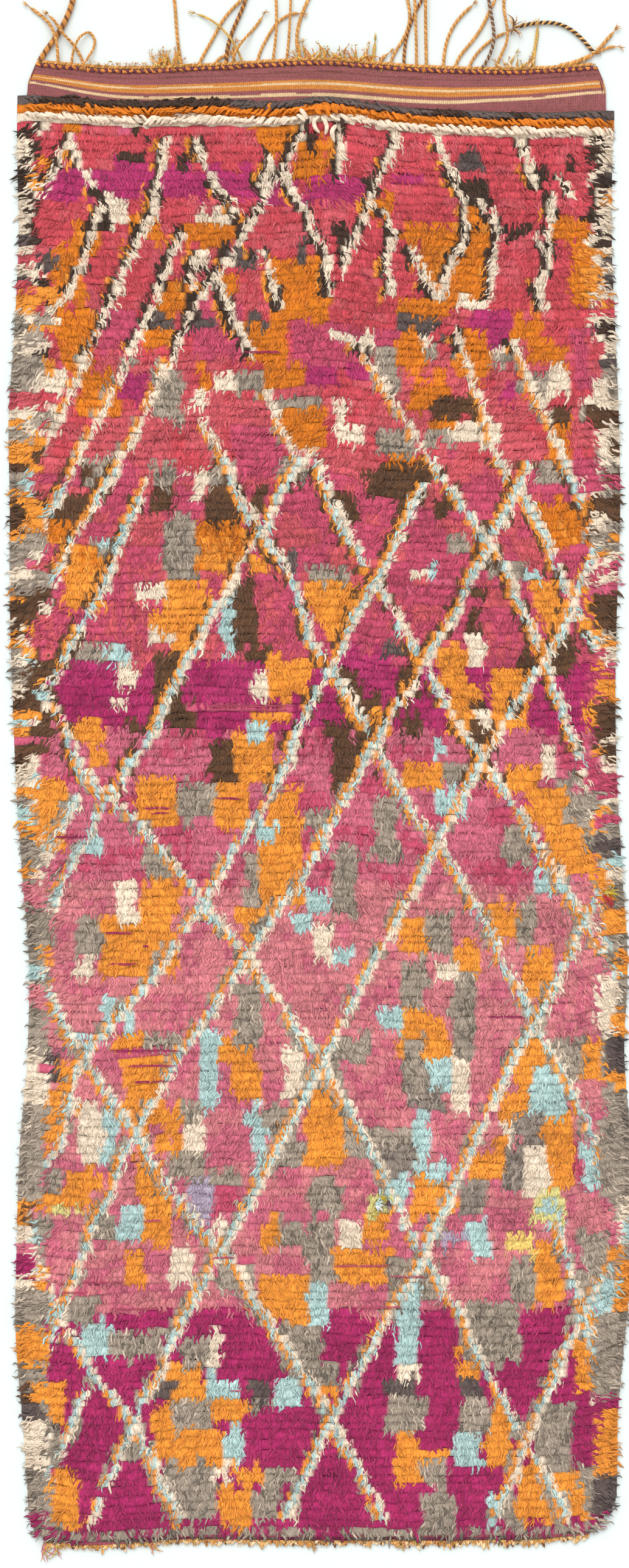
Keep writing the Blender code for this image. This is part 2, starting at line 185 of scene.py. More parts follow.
ORANGE_DASHES = (  # left, top, right, bottom, in squares
    (79, 189.5, 83, 193.5), (80.8, 187, 83, 190),
    (10, 20.5, 14, 21.5), (6, 25.5, 8.5, 29.5), (43, 20.5, 49, 25), (48.5, 21.5, 54, 29),
    (50, 17, 56, 20), (61.5, 32.5, 65, 37), (66, 37, 76, 40), (77, 34, 80, 42),
    (90, 36, 97, 40), (21, 36, 27, 40), (30, 37, 40, 40), (11.5, 37, 16.5, 42),
    (8.5, 40, 14, 50), (9.5, 51, 16, 60), (13, 60.5, 19.5, 68), (25.5, 47, 31.5, 52),
    (23.5, 54, 29, 57.5), (44.5, 42, 54.5, 53), (69, 40, 79.5, 49), (65, 49.5, 76, 51.5),
    (94, 40, 100, 50), (40, 53, 47, 60), (43, 60, 50, 64), (46, 67, 53, 73),
    (65, 53, 70, 60), (67.3, 61.3, 73, 67.5), (32.6, 60, 34, 66), (35.3, 46, 39.3, 48),
    (74, 54, 80, 62), (84, 52, 89, 56),
    (87, 56, 93, 60), (70, 69, 74.5, 71), (90, 69, 94, 80), (64, 75, 70, 76.5),
    (6, 85, 12, 90), (10, 90, 17, 100), (32, 85.5, 40, 94), (41, 90.5, 44.5, 94.5),
    (87.5, 82, 100, 90), (77, 89.5, 80, 92), (27, 95.5, 34.5, 102), (24.5, 100, 33, 103),
    (28.5, 102.5, 32, 106.5), (72, 106, 77, 113), (74, 112, 79.5, 120), (81, 109, 87, 119),
    (44, 108, 51, 115), (41.5, 116.5, 48, 119), (11, 118, 17.5, 121.5), (60, 116, 64, 121),
    (99, 110, 101, 114), (4.5, 128, 11, 140), (14, 122, 18, 126), (38.5, 121, 45, 129),
    (22.5, 128, 29, 136), (35, 129, 41, 135.5), (44, 129, 49, 135), (65.5, 125.5, 72.5, 129.5),
    (83, 125.5, 89, 130), (86, 129, 93, 135), (90, 135, 98, 144), (42.5, 134, 50, 149),
    (23, 145, 30, 150), (16.5, 150, 29, 160), (65.5, 150, 71, 156), (74, 155, 79, 160),
    (80, 148, 85, 154), (86, 155, 91, 164), (100.5, 146, 103, 153), (18.5, 170, 23, 172),
    (20, 180, 24.5, 186), (9.5, 174, 13, 183), (6, 179, 11, 188), (36, 169.5, 42, 174),
    (38.5, 174, 43, 181), (50, 179, 57, 192), (65, 166, 73.5, 174), (24.5, 181, 29.5, 185),
    (25.5, 186, 30.5, 189), (11, 192, 17, 196), (4, 195, 15, 198.5), (22.5, 190, 27.5, 201),
    (67.5, 192.5, 75, 200), (77, 190, 83, 194), (85, 171, 90, 180), (82, 179, 87, 183),
    (89.5, 182, 94.5, 195), (95, 170, 102, 177), (100, 164, 103, 169), (4, 208, 7.5, 213),
    (23.5, 200, 28.5, 204), (20.5, 205, 24, 211), (43, 200, 47.5, 204), (43, 209, 51.5, 217),
    (55, 205, 65, 211), (59, 200, 64, 204), (87, 203, 92.5, 214), (75, 217, 79.5, 227),
    (79.5, 231, 84.5, 240.5), (69, 238, 74, 240), (65, 235, 69, 244), (94.5, 215, 100, 228),
    (100, 205, 103.4, 215), (100, 231, 101.5, 240), (2, 218.5, 6.5, 224), (5.5, 227, 10.5, 234),
    (26, 223, 34, 229), (51, 227, 56, 230), (25, 230, 28.5, 234), (34.5, 230, 40.5, 233),
    (25, 234, 36.5, 240), (7.5, 241, 13, 251), (36, 244, 41.5, 250), (39, 240, 43, 243),
    (66, 240, 69, 244), (84.5, 240, 90.5, 250), (90, 241, 95, 245), (94, 244, 99, 249),
)
GREY_DASHES = (
    (20, 58.5, 24, 60.5), (2, 60, 5, 65), (25, 60, 30, 69), (38, 61, 43.5, 65),
    (44, 65, 53, 67), (61, 57, 65, 65), (70, 56, 72, 59), (80, 56, 84, 60),
    (85, 61, 90, 65), (69, 71, 74.5, 73.5), (62, 71, 68, 75), (13, 75, 19, 80),
    (25, 76, 29, 80), (34, 75.5, 38, 80), (88, 75, 92, 80), (46, 75, 50, 79),
    (14, 88, 19, 90.5), (27, 85, 32, 95), (51, 93, 57, 95), (73, 88, 77, 91),
    (96, 86, 101, 89), (80, 92, 86, 95), (12.5, 106, 18, 109), (28.5, 128, 35, 135),
    (72.5, 125, 76.5, 128), (91, 127, 96, 129), (50, 133, 55, 136), (40, 140, 42.5, 149),
    (61.5, 130, 65.5, 141), (24, 138, 28.5, 144), (12.5, 151, 16.5, 156.5), (54.5, 139, 59, 151),
    (70, 149, 74.5, 157), (65.5, 157, 70, 165), (85, 147.5, 88.5, 155), (83, 136, 87, 142),
    (93, 130, 100, 135), (96, 135, 101, 139), (23, 169, 30, 172), (4.5, 165, 7, 172),
    (38.5, 162, 43, 172), (50, 174.5, 56, 179), (54.5, 170, 61, 174.5), (57, 183, 60, 190),
    (74, 160, 78, 174), (66, 170, 70, 180), (61, 185, 68, 192), (42.5, 181.5, 49, 187),
    (45, 187, 50, 192), (29.5, 181, 33.5, 184), (28, 189, 34, 193), (2, 182, 6, 190),
    (7.5, 192, 10.5, 196), (2, 199, 8, 202), (35, 192, 40, 195), (51, 193, 56, 199),
    (76, 194, 80, 199), (84.5, 182.5, 89.5, 187), (83, 188, 86, 194), (90, 170, 96, 177),
    (5, 200, 7, 208), (14.5, 200, 19.5, 204), (36, 207, 42, 212), (10, 212, 16, 217),
    (51, 200, 55, 211), (46, 200, 50.5, 205), (84, 206, 88, 214), (64, 206, 72, 213),
    (63.5, 228.5, 70, 235), (76, 213, 85, 224), (75.5, 229, 80, 235), (95, 202, 100, 211),
    (100, 216, 103, 228), (88, 230, 94.5, 242), (2.5, 213, 6, 218), (18, 218, 27, 223),
    (30, 219, 34, 224), (40.5, 229, 46, 231), (46, 217, 53, 225), (50, 224, 56, 227),
    (28.5, 229.5, 34.5, 234), (20, 234, 23.5, 240), (27, 240, 35.5, 249), (41.5, 244, 46, 250),
    (43, 241, 49, 244), (69, 240, 73.5, 244), (69, 245, 75, 252), (80, 245, 85, 250),
    (90.5, 244, 94, 250), (95, 240, 101, 244),
)
BROWN_DASHES = (
    (70, 65.5, 79, 68.5), (89, 67, 94, 69), (60, 76.5, 70, 82), (8, 81.5, 15.5, 85.5),
    (25, 80.5, 29, 84.5), (34.5, 80, 40, 85.5), (54.5, 81, 58.5, 85), (71, 82, 74, 85),
    (94, 82, 98, 85), (2, 96, 8, 100), (6, 108, 10, 110), (2, 110, 7, 114),
    (38, 95, 42, 106.5), (77.5, 96.5, 85, 97.5), (77, 99.5, 79, 103.5), (85.5, 100.5, 87.5, 109),
    (91, 104, 95, 110), (25, 107, 30, 114), (41, 106, 44, 109), (27, 114.5, 32.5, 119.5),
    (6, 116.5, 9, 120), (20, 118, 24, 120), (53, 118, 58, 121.5), (55.5, 110, 59, 115),
    (65, 110, 69, 115), (66, 119, 69, 121.5), (77.5, 114.5, 80.5, 116.5), (99.5, 115, 102, 118),
    (18, 127.5, 20.5, 130), (34, 121.5, 38.5, 128.5), (54.5, 120.5, 59.5, 129.5),
    (41.3, 80, 44.3, 84), (65, 81, 69, 84.5), (92, 97.5, 93.4, 101.5), (59.5, 113.5, 62.5, 116.5),
    (77.5, 119, 81.5, 121.5), (50.5, 76, 53, 78.5), (13, 76.5, 15.5, 79), (66.5, 117, 70, 120),
)
CREAM_DASHES = (
    (33, 34.5, 39, 37), (75.3, 48.6, 80, 50.7), (69.8, 53.3, 71.2, 57), (55, 54.5, 61, 56.3),
    (18, 33, 21.3, 37.5), (5, 61, 11.5, 64.5), (1, 67, 9, 68.5),
    (26, 60, 28.5, 62.5), (30.5, 65, 34, 67), (34.5, 61.5, 38.5, 64), (55, 65, 57, 72),
    (55.5, 69, 60, 73), (80, 56, 84, 58), (90, 60, 93, 65), (74.5, 69, 82, 73.5),
    (31, 77, 34, 80), (31.5, 80, 33, 83), (67, 93, 70.5, 95), (22.5, 95.5, 27, 99),
    (24, 103, 28.5, 106), (19, 108.5, 22, 113), (18.5, 114, 21.5, 116), (41.5, 110, 44, 115),
    (76.5, 104, 79.5, 110), (78.5, 116.5, 81, 119), (89.5, 122.5, 91.5, 127.5),
    (19, 144.5, 22.5, 152), (11.5, 157, 15.5, 161), (51.5, 152, 54.5, 157.5),
    (72, 158.5, 75.5, 161), (4.5, 172, 7, 174), (4.5, 175.5, 7, 180), (47, 172, 50, 180),
    (74, 173, 77.5, 182), (30, 184, 34, 189), (13, 181, 16.5, 191), (82, 183, 84.5, 187),
    (86, 187, 89.5, 196), (98.5, 160, 100, 169), (28, 204.5, 32, 211), (35, 200, 38, 206),
    (56, 201, 59.5, 205), (65, 224, 69, 226.5), (4, 235, 7, 240), (34, 218, 36.5, 225),
    (35, 240, 38, 243),
)
BLUE_DASHES = (
    (16.5, 88, 18.5, 89.5), (42, 86, 44.5, 89), (70, 93, 72.5, 95), (86, 93, 90, 95),
    (36, 95, 38.5, 108), (18, 105.5, 21, 108.5), (44, 106.5, 47, 107.5), (40, 119, 44, 121.5),
    (71.5, 121, 73.5, 124.5), (71.5, 129, 76.5, 134), (42, 135, 45.5, 139.5), (13, 137.5, 17, 141),
    (50, 145, 54, 150), (48, 151, 51.5, 153), (54.5, 156, 57.5, 158), (88, 142, 92.5, 146),
    (16.5, 163, 21.5, 169), (12, 169, 16, 172), (33, 169, 36.5, 174), (33, 175, 36.5, 181),
    (62, 165, 66, 169), (70, 174, 74, 180), (68, 182, 70.5, 192), (70, 190, 74, 193),
    (40, 181.5, 42.5, 185), (41.5, 185, 44, 193), (16.5, 182, 20, 191), (19.5, 198.5, 23.5, 204),
    (61.5, 193, 67, 197), (87, 175, 93, 183), (95.5, 188, 99.5, 195), (77, 200, 80.5, 206),
    (65, 211, 69, 224), (74.5, 235, 79, 240), (98, 209, 101, 216), (7, 213, 10, 218),
    (13, 217, 18, 223), (34.5, 225.5, 39, 229), (45, 226.5, 50, 230.5), (36.5, 234, 40, 240),
    (51, 211, 54, 217), (80, 245, 82, 250),
)
DARK_DASHES = (
    (22.5, 20.5, 26.5, 22), (19.5, 25, 23.5, 27.5), (60, 29.5, 62.5, 33.5), (76, 30, 81, 33.5),
    (93, 26, 95, 28), (36, 40.5, 40, 44), (25, 23.5, 27, 26), (24.5, 31, 27, 35), (29, 25, 31, 28),
    (16, 33.5, 18, 38), (41.3, 27.5, 43, 30.5), (50, 22, 52, 24), (88.5, 27, 89.5, 31),
    (88.5, 39.5, 91, 42.5), (78.5, 36.8, 87, 39), (96.5, 22.5, 99, 26.5), (55, 36.5, 57, 39.5),
)
SLATE_DASHES = (
    (75.5, 24.5, 79, 28.5), (47, 90, 49, 94), (63, 105, 66, 108), (7, 173, 9.5, 178),
    (63, 226, 68, 229), (75.5, 226, 79, 229), (25.5, 226, 28.5, 229), (41, 226, 44, 229),
    (6, 234, 10, 237), (64.5, 51.5, 72.5, 54), (25, 52, 29, 53.5), (37, 41, 42, 44),
    (31.3, 52, 35.3, 54), (41.3, 52.3, 44.7, 53.4), (72.5, 54.7, 74.7, 56.8), (49, 39, 51, 44),
)
MAGENTA_DASHES = (
    (94, 54, 100, 64), (73, 70, 74.5, 76), (38, 70, 47, 78), (94, 75, 100, 80),
    (16.5, 80, 22.5, 85), (29, 80, 34, 84.5), (66, 87, 73, 92), (76, 80, 84, 85),
    (48, 129, 54.5, 133), (93, 188, 95.5, 193), (35.5, 195, 39, 199),
)
PURPLE_DASHES = (
    (6.5, 27.5, 44, 32.5), (44, 30, 49, 33.5), (50, 29.5, 60, 33.5), (65, 29, 70, 30.5),
    (50, 60, 55.5, 64), (57, 60, 61, 62.5), (77, 51, 84, 56), (79.5, 63.5, 87, 65),
    (20.3, 61.3, 24.5, 66), (57, 106.5, 64, 115), (77, 111, 81, 113),
)
PINK_DASHES = ((16.5, 51, 22.5, 58), (58.7, 54, 65, 57), (31, 50, 39.5, 59), (48, 53, 59, 60))
YELLOW_DASHES = ((8, 197.5, 14, 199), (87, 196, 93, 201), (60, 196, 65, 200))
LILAC_DASHES = ((31, 193, 35, 200), (72.5, 202, 77, 204.5))
PRIMROSE_DASHES = ((83, 202, 88, 205.3),)
ASH_DASHES = (
    (61.5, 188.5, 68, 193), (67, 178.5, 73, 182), (84.3, 182.5, 89.5, 187.5), (82.8, 188, 86, 194.5),
    (75.5, 194, 79, 199.5),
)
LATE_BLUE_DASHES = ((88, 197.2, 92.6, 199.2), (89.7, 200, 93, 201.5))
GLIMPSES = (  # left, right, down, in squares: short gaps between rows where a weft shows
    (23.9, 28.3, 132.8), (35.5, 39.4, 131.2), (25.3, 27.8, 133.6), (17.2, 21.9, 153.2),
    (23.3, 24.3, 155.4), (17.7, 22.2, 158.3), (33.4, 48.9, 116.0), (33.8, 47.5, 116.7),
    (45.6, 48.1, 129.9), (22.8, 25.6, 100.5), (18.4, 22.8, 113.4), (10.0, 14.4, 212.2),
    (13.3, 20.5, 210.5), (18.3, 26.6, 214.9), (37.8, 41.1, 228.3), (23.9, 26.6, 200.4),
    (35.0, 38.9, 206.5), (97.0, 103.0, 96.0), (72.0, 84.0, 96.4), (40.0, 46.0, 58.0),
    (18.5, 30.0, 172.5), (21.0, 29.0, 175.0), (22.0, 27.5, 177.6), (64.0, 70.0, 209.6),
    (55.0, 64.0, 207.8), (58.0, 66.0, 214.6), (80.0, 86.0, 167.0), (9.0, 14.5, 137.5),
)
ODD_ENDS = (  # across and down in squares, angle from up, spread, strands, length, thickness, yarns
    (61.7, 197.9, 90, 1.0, 18, 0.022, 0.0017, ("white", "white", "blue")),
    (60.9, 199.2, 60, 0.8, 8, 0.018, 0.0012, ("yellow", "mustard")),
    (62.6, 196.4, 110, 0.9, 8, 0.016, 0.0012, ("mustard", "yellow")),
    (63.7, 196.9, 165, 0.5, 7, 0.018, 0.0009, ("violet", "violet", "mustard")),
    (99.0, 146.6, 88, 0.25, 12, 0.034, 0.0011, ("mustard", "yellow", "mustard")),
    (98.9, 147.0, 132, 0.25, 7, 0.030, 0.0012, ("scarlet", "scarlet", "rose")),
    (100.6, 148.0, 185, 0.2, 4, 0.018, 0.0010, ("scarlet",)),
)
BARE_DASHES = (
    (98.5, 96, 101, 97.5), (31, 115.5, 48, 116.5), (18, 172, 30, 173.2), (9, 211.8, 16, 213),
    (12, 21.5, 22, 22.5), (6, 59.8, 14, 61), (66, 96, 85, 96.8), (37, 206.5, 42, 207.4),
)
DASHES = (
    ("magenta", PINK_DASHES),
    ("magenta", MAGENTA_DASHES),
    ("purple", PURPLE_DASHES),
    ("orange", ORANGE_DASHES),
    ("grey", GREY_DASHES),
    ("brown", BROWN_DASHES),
    ("cream", CREAM_DASHES),
    ("blue", BLUE_DASHES),
    ("black", DARK_DASHES),
    ("slate", SLATE_DASHES),
    ("yellow", YELLOW_DASHES),
    ("lilac", LILAC_DASHES),
    ("primrose", PRIMROSE_DASHES),
    ("ash", ASH_DASHES),
    ("blue", LATE_BLUE_DASHES),
    ("ground", BARE_DASHES),
)
ORANGE_WEDGES = (  # left, top, right, point below
    (86.5, 95.5, 94, 108), (50, 95.5, 59.5, 108), (38, 149, 45, 158), (19, 173.5, 27.5, 184),
)
DASH_WOBBLE = 0.6

LATTICE = (  # points in squares, down each line
    ((33.5, 69), (40, 83), (48, 94.5), (51, 105), (59, 117), (65.5, 130), (73, 140),
     (79.5, 151), (86.5, 165), (95, 181), (103.4, 200)),
    ((50.5, 74), (57.5, 89), (64.5, 100), (73.5, 116.5), (81.5, 127.5), (90, 141),
     (97.5, 153), (103, 160)),
    ((2.5, 104), (9.5, 117.5), (14, 127), (23.5, 136), (33, 148), (44, 162), (53, 174.5),
     (61, 188), (67, 202), (75.5, 216), (81.5, 228), (93.5, 249.5)),
    ((5, 159), (12.5, 172.5), (19, 181), (28, 195.5), (38.5, 207.5), (45.5, 219),
     (55, 234), (63, 249)),
    ((3, 203), (8, 213), (15, 225), (21.5, 233), (27, 244), (30, 249.5)),
    ((91.5, 201), (95, 214), (101, 229)),
    ((74.5, 55), (76.7, 60), (81.5, 75), (88, 85), (94.5, 100), (100, 108)),
    ((58.5, 56), (61.3, 60.7), (72, 78), (83, 93), (89.5, 108.5), (96, 125), (101.5, 134)),
    ((11, 22.5), (14.5, 29.5), (17, 32.5)),
    ((11, 22.5), (8.5, 28), (5.5, 32.5)),
    ((32, 22), (34.5, 28.5), (39, 34.5), (41.5, 38.5)),
    ((33, 41.5), (36, 47), (38.5, 53), (41.5, 58)),
    ((32.5, 41.5), (31.5, 46), (32, 51)),
    ((42, 41), (44, 44), (46, 51)),
    ((46, 26.5), (48, 30.5), (51, 37), (53, 41)),
    ((53.5, 42), (54, 49)),
    ((70.5, 21.5), (73.5, 26.5), (76.7, 34), (76.3, 38), (72, 48.5)),
    ((79, 33), (81.5, 38), (80.5, 45), (80, 49)),
    ((67.3, 40.5), (71.3, 49)),
    ((88, 38.5), (90, 43), (88, 47), (89.5, 51)),
    ((92, 29), (94, 32.5)),
    ((43.5, 64), (48, 74.5)),
    ((84, 56), (92.5, 76), (97.5, 85)),
    ((30, 38), (26.5, 47), (18.5, 65), (10.5, 79.5), (2.5, 92)),
    ((25.3, 34.5), (21, 43.5), (16.7, 53), (10, 68.5), (2, 80)),
    ((17.7, 32), (15, 39), (12, 47.5), (7, 52)),
    ((50, 21.5), (44, 32), (38, 42.5), (31.5, 51), (23.5, 69), (13, 87), (2.5, 104.5)),
    ((24, 79), (17.5, 95), (9.5, 110), (4, 115)),
    ((50, 74), (43, 86.5), (35, 100), (25, 120), (18.5, 130), (11.5, 142), (4, 158)),
    ((12.5, 131), (7, 140), (3.5, 145)),
    ((69.5, 79), (64.5, 90), (54.5, 108.5), (45.5, 128), (36.5, 143), (25, 161), (13, 174),
     (9.5, 188), (5, 193)),
    ((87, 76), (77, 96), (69.5, 109.5), (61, 122), (52.5, 139.5), (40.5, 157), (29, 174),
     (21.5, 187), (14, 205), (4, 230)),
    ((101, 84), (91.5, 105), (79.5, 124), (68.5, 145), (57.5, 165), (45.5, 189), (33, 211),
     (25.5, 226), (14.5, 250)),
    ((100, 144), (90, 164), (81.5, 179), (70.5, 204), (59, 224), (47, 249)),
    ((103.4, 204), (96, 215), (86.5, 236), (81, 249)),
    ((14, 229), (10, 237), (5, 249)),
    ((66.5, 20.5), (64, 26.5), (61, 33.5), (56, 44)),
    ((63.3, 34.5), (64.5, 38), (63.5, 44), (64, 49)),
    ((91, 31), (90, 40)),
    ((27.5, 22), (26, 29), (25.3, 34.5)),
    ((85.3, 23), (88, 30.5)),
    ((56, 20), (56, 28)),
    ((44.8, 25), (43, 31)),
)
LINE_STYLES = (  # top in squares, (reach to the right of the line in squares, yarn, how full)
    (0, ((-1.8, -1.1, "orange", 0.5), (-1.3, -0.2, "black", 0.72), (0.5, 1.2, "black", 0.36),
         (-0.4, 0.75, "cream", 0.86))),
    (58, ((-1.5, -0.9, "grey", 0.5), (-1.0, -0.4, "orange", 0.75), (-0.4, 0.7, "cream", 0.93))),
    (75, ((-1.7, -0.9, "brown", 0.62), (-1.0, -0.35, "orange", 0.75), (-0.4, 0.4, "blue", 0.88),
          (0.8, 1.4, "brown", 0.42), (0.15, 0.95, "cream", 0.88))),
    (128, ((-1.6, -0.8, "grey", 0.55), (-0.9, -0.3, "orange", 0.75), (-0.35, 0.35, "blue", 0.88),
           (0.8, 1.3, "grey", 0.3), (0.15, 0.9, "cream", 0.86))),
)
LEFT_LOCKS = (  # top in squares, yarn at the rim, how far in, yarn behind it, how far in
    (20.5, "black", 2.5, "cream", 4.0), (22.0, "cream", 1.2, "black", 2.8),
    (23.5, "cream", 0.8, "black", 2.8), (25.0, "cream", 1.0, "black", 2.4),
    (26.2, "black", 2.0, "orange", 4.0), (27.4, "black", 0.8, "cream", 2.0),
    (28.5, "black", 1.4, "orange", 2.8), (30.2, "black", 1.2, "cream", 2.8),
    (31.5, "cream", 1.4, "black", 2.4), (33.8, "cream", 1.2, "black", 2.8),
    (36.0, "cream", 0.8, "black", 1.8), (38.3, "slate", 1.4, "black", 3.2),
    (40.0, "cream", 0.9, "rose", 3.0), (41.4, "rose", 3.0, "slate", 5.5),
    (42.8, "cream", 3.0, "slate", 6.0), (44.6, "slate", 1.2, "cream", 3.5),
    (46.2, "rose", 2.2, "black", 4.5), (47.5, "orange", 6.0, "orange", 6.0),
    (50.0, "orange", 2.4, "rose", 4.4), (51.0, "cream", 2.4, "grey", 4.5),
    (52.0, "grey", 6.0, "cream", 7.0), (53.6, "grey", 1.5, "orange", 6.0),
    (54.8, "cream", 2.2, "grey", 4.5), (56.2, "grey", 2.5, "cream", 5.0),
    (57.6, "cream", 3.2, "black", 5.0), (58.8, "grey", 4.0, "orange", 6.0),
    (61.3, "grey", 3.2, "cream", 9.0), (64.2, "rose", 7.0, "rose", 7.0),
    (66.8, "cream", 7.5, "cream", 7.5), (68.3, "orange", 3.6, "grey", 7.0),
    (69.4, "grey", 2.4, "cream", 5.0), (71.0, "grey", 3.0, "orange", 5.0),
    (72.6, "orange", 4.5, "grey", 6.0), (74.0, "orange", 3.0, "brown", 5.0),
    (75.6, "brown", 2.2, "orange", 5.0), (77.2, "grey", 2.0, "blue", 3.6),
    (79.0, "grey", 1.0, "blue", 2.8), (80.6, "orange", 3.5, "brown", 5.0),
    (82.6, "brown", 1.8, "orange", 5.0), (85.5, "brown", 1.5, "orange", 4.8),
    (87.0, "orange", 1.8, "grey", 5.0), (88.5, "grey", 5.5, "grey", 5.5),
    (90.5, "grey", 2.6, "cream", 5.0), (92.0, "ground", 3.0, "orange", 4.0),
    (93.4, "cream", 3.0, "grey", 6.0), (95.0, "grey", 6.0, "grey", 6.0),
    (97.0, "orange", 1.2, "brown", 6.5), (98.8, "brown", 4.5, "cream", 6.0),
    (101.0, "cream", 1.2, "brown", 3.5), (102.5, "brown", 1.5, "orange", 3.0),
    (104.0, "orange", 1.2, "cream", 2.8), (106.0, "grey", 1.0, "orange", 2.6),
    (107.5, "cream", 1.5, "blue", 2.8), (108.8, "grey", 1.5, "brown", 6.0),
    (111.4, "cream", 1.0, "brown", 4.0), (113.4, "brown", 3.2, "blue", 5.5),
    (115.5, "brown", 3.8, "cream", 5.0), (116.6, "orange", 3.6, "brown", 6.0),
    (118.0, "blue", 1.4, "cream", 3.0), (119.4, "orange", 1.0, "brown", 5.5),
    (120.8, "ground", 5.0, "ground", 6.0), (122.0, "brown", 4.5, "brown", 5.0),
    (123.6, "brown", 1.6, "cream", 3.0), (125.5, "cream", 2.8, "rose", 3.4),
    (127.0, "cream", 1.8, "blue", 3.0), (129.0, "orange", 1.2, "grey", 2.0),
    (130.5, "grey", 1.2, "cream", 2.0), (132.5, "blue", 1.2, "grey", 2.0),
    (134.5, "orange", 2.0, "orange", 3.0), (137.0, "grey", 1.8, "cream", 3.0),
    (139.5, "grey", 2.5, "cream", 4.0), (142.0, "orange", 1.5, "cream", 3.0),
    (143.5, "grey", 1.5, "cream", 2.4), (145.0, "rose", 3.0, "rose", 3.0),
    (149.0, "grey", 4.0, "grey", 4.0), (155.0, "grey", 1.6, "orange", 3.0),
    (157.5, "blue", 1.2, "cream", 2.5), (160.0, "grey", 2.5, "orange", 3.5),
    (161.6, "rose", 2.0, "rose", 2.0), (165.0, "grey", 2.0, "grey", 2.0),
    (172.5, "cream", 2.5, "cream", 2.5), (174.6, "ground", 2.5, "ground", 4.0),
    (175.8, "cream", 3.0, "cream", 3.0), (181.5, "grey", 3.0, "grey", 3.2),
    (196.8, "orange", 0.8, "brown", 1.8), (200.5, "cream", 1.4, "blue", 2.4),
    (203.5, "pink", 1.5, "cream", 2.4), (206.0, "berry", 2.2, "cream", 2.8),
    (209.0, "cream", 2.0, "orange", 4.0), (211.5, "grey", 4.5, "grey", 4.5),
    (218.0, "orange", 4.5, "orange", 4.5), (223.5, "grey", 4.0, "orange", 4.5),
    (227.0, "brown", 1.2, "orange", 2.6), (230.0, "slate", 2.4, "grey", 4.0),
    (233.0, "cream", 3.0, "grey", 5.0), (240.5, "grey", 3.0, "grey", 3.0),
    (248.0, "berry", 2.0, "grey", 3.0), (250.0, "grey", 4.0, "grey", 4.0),
)
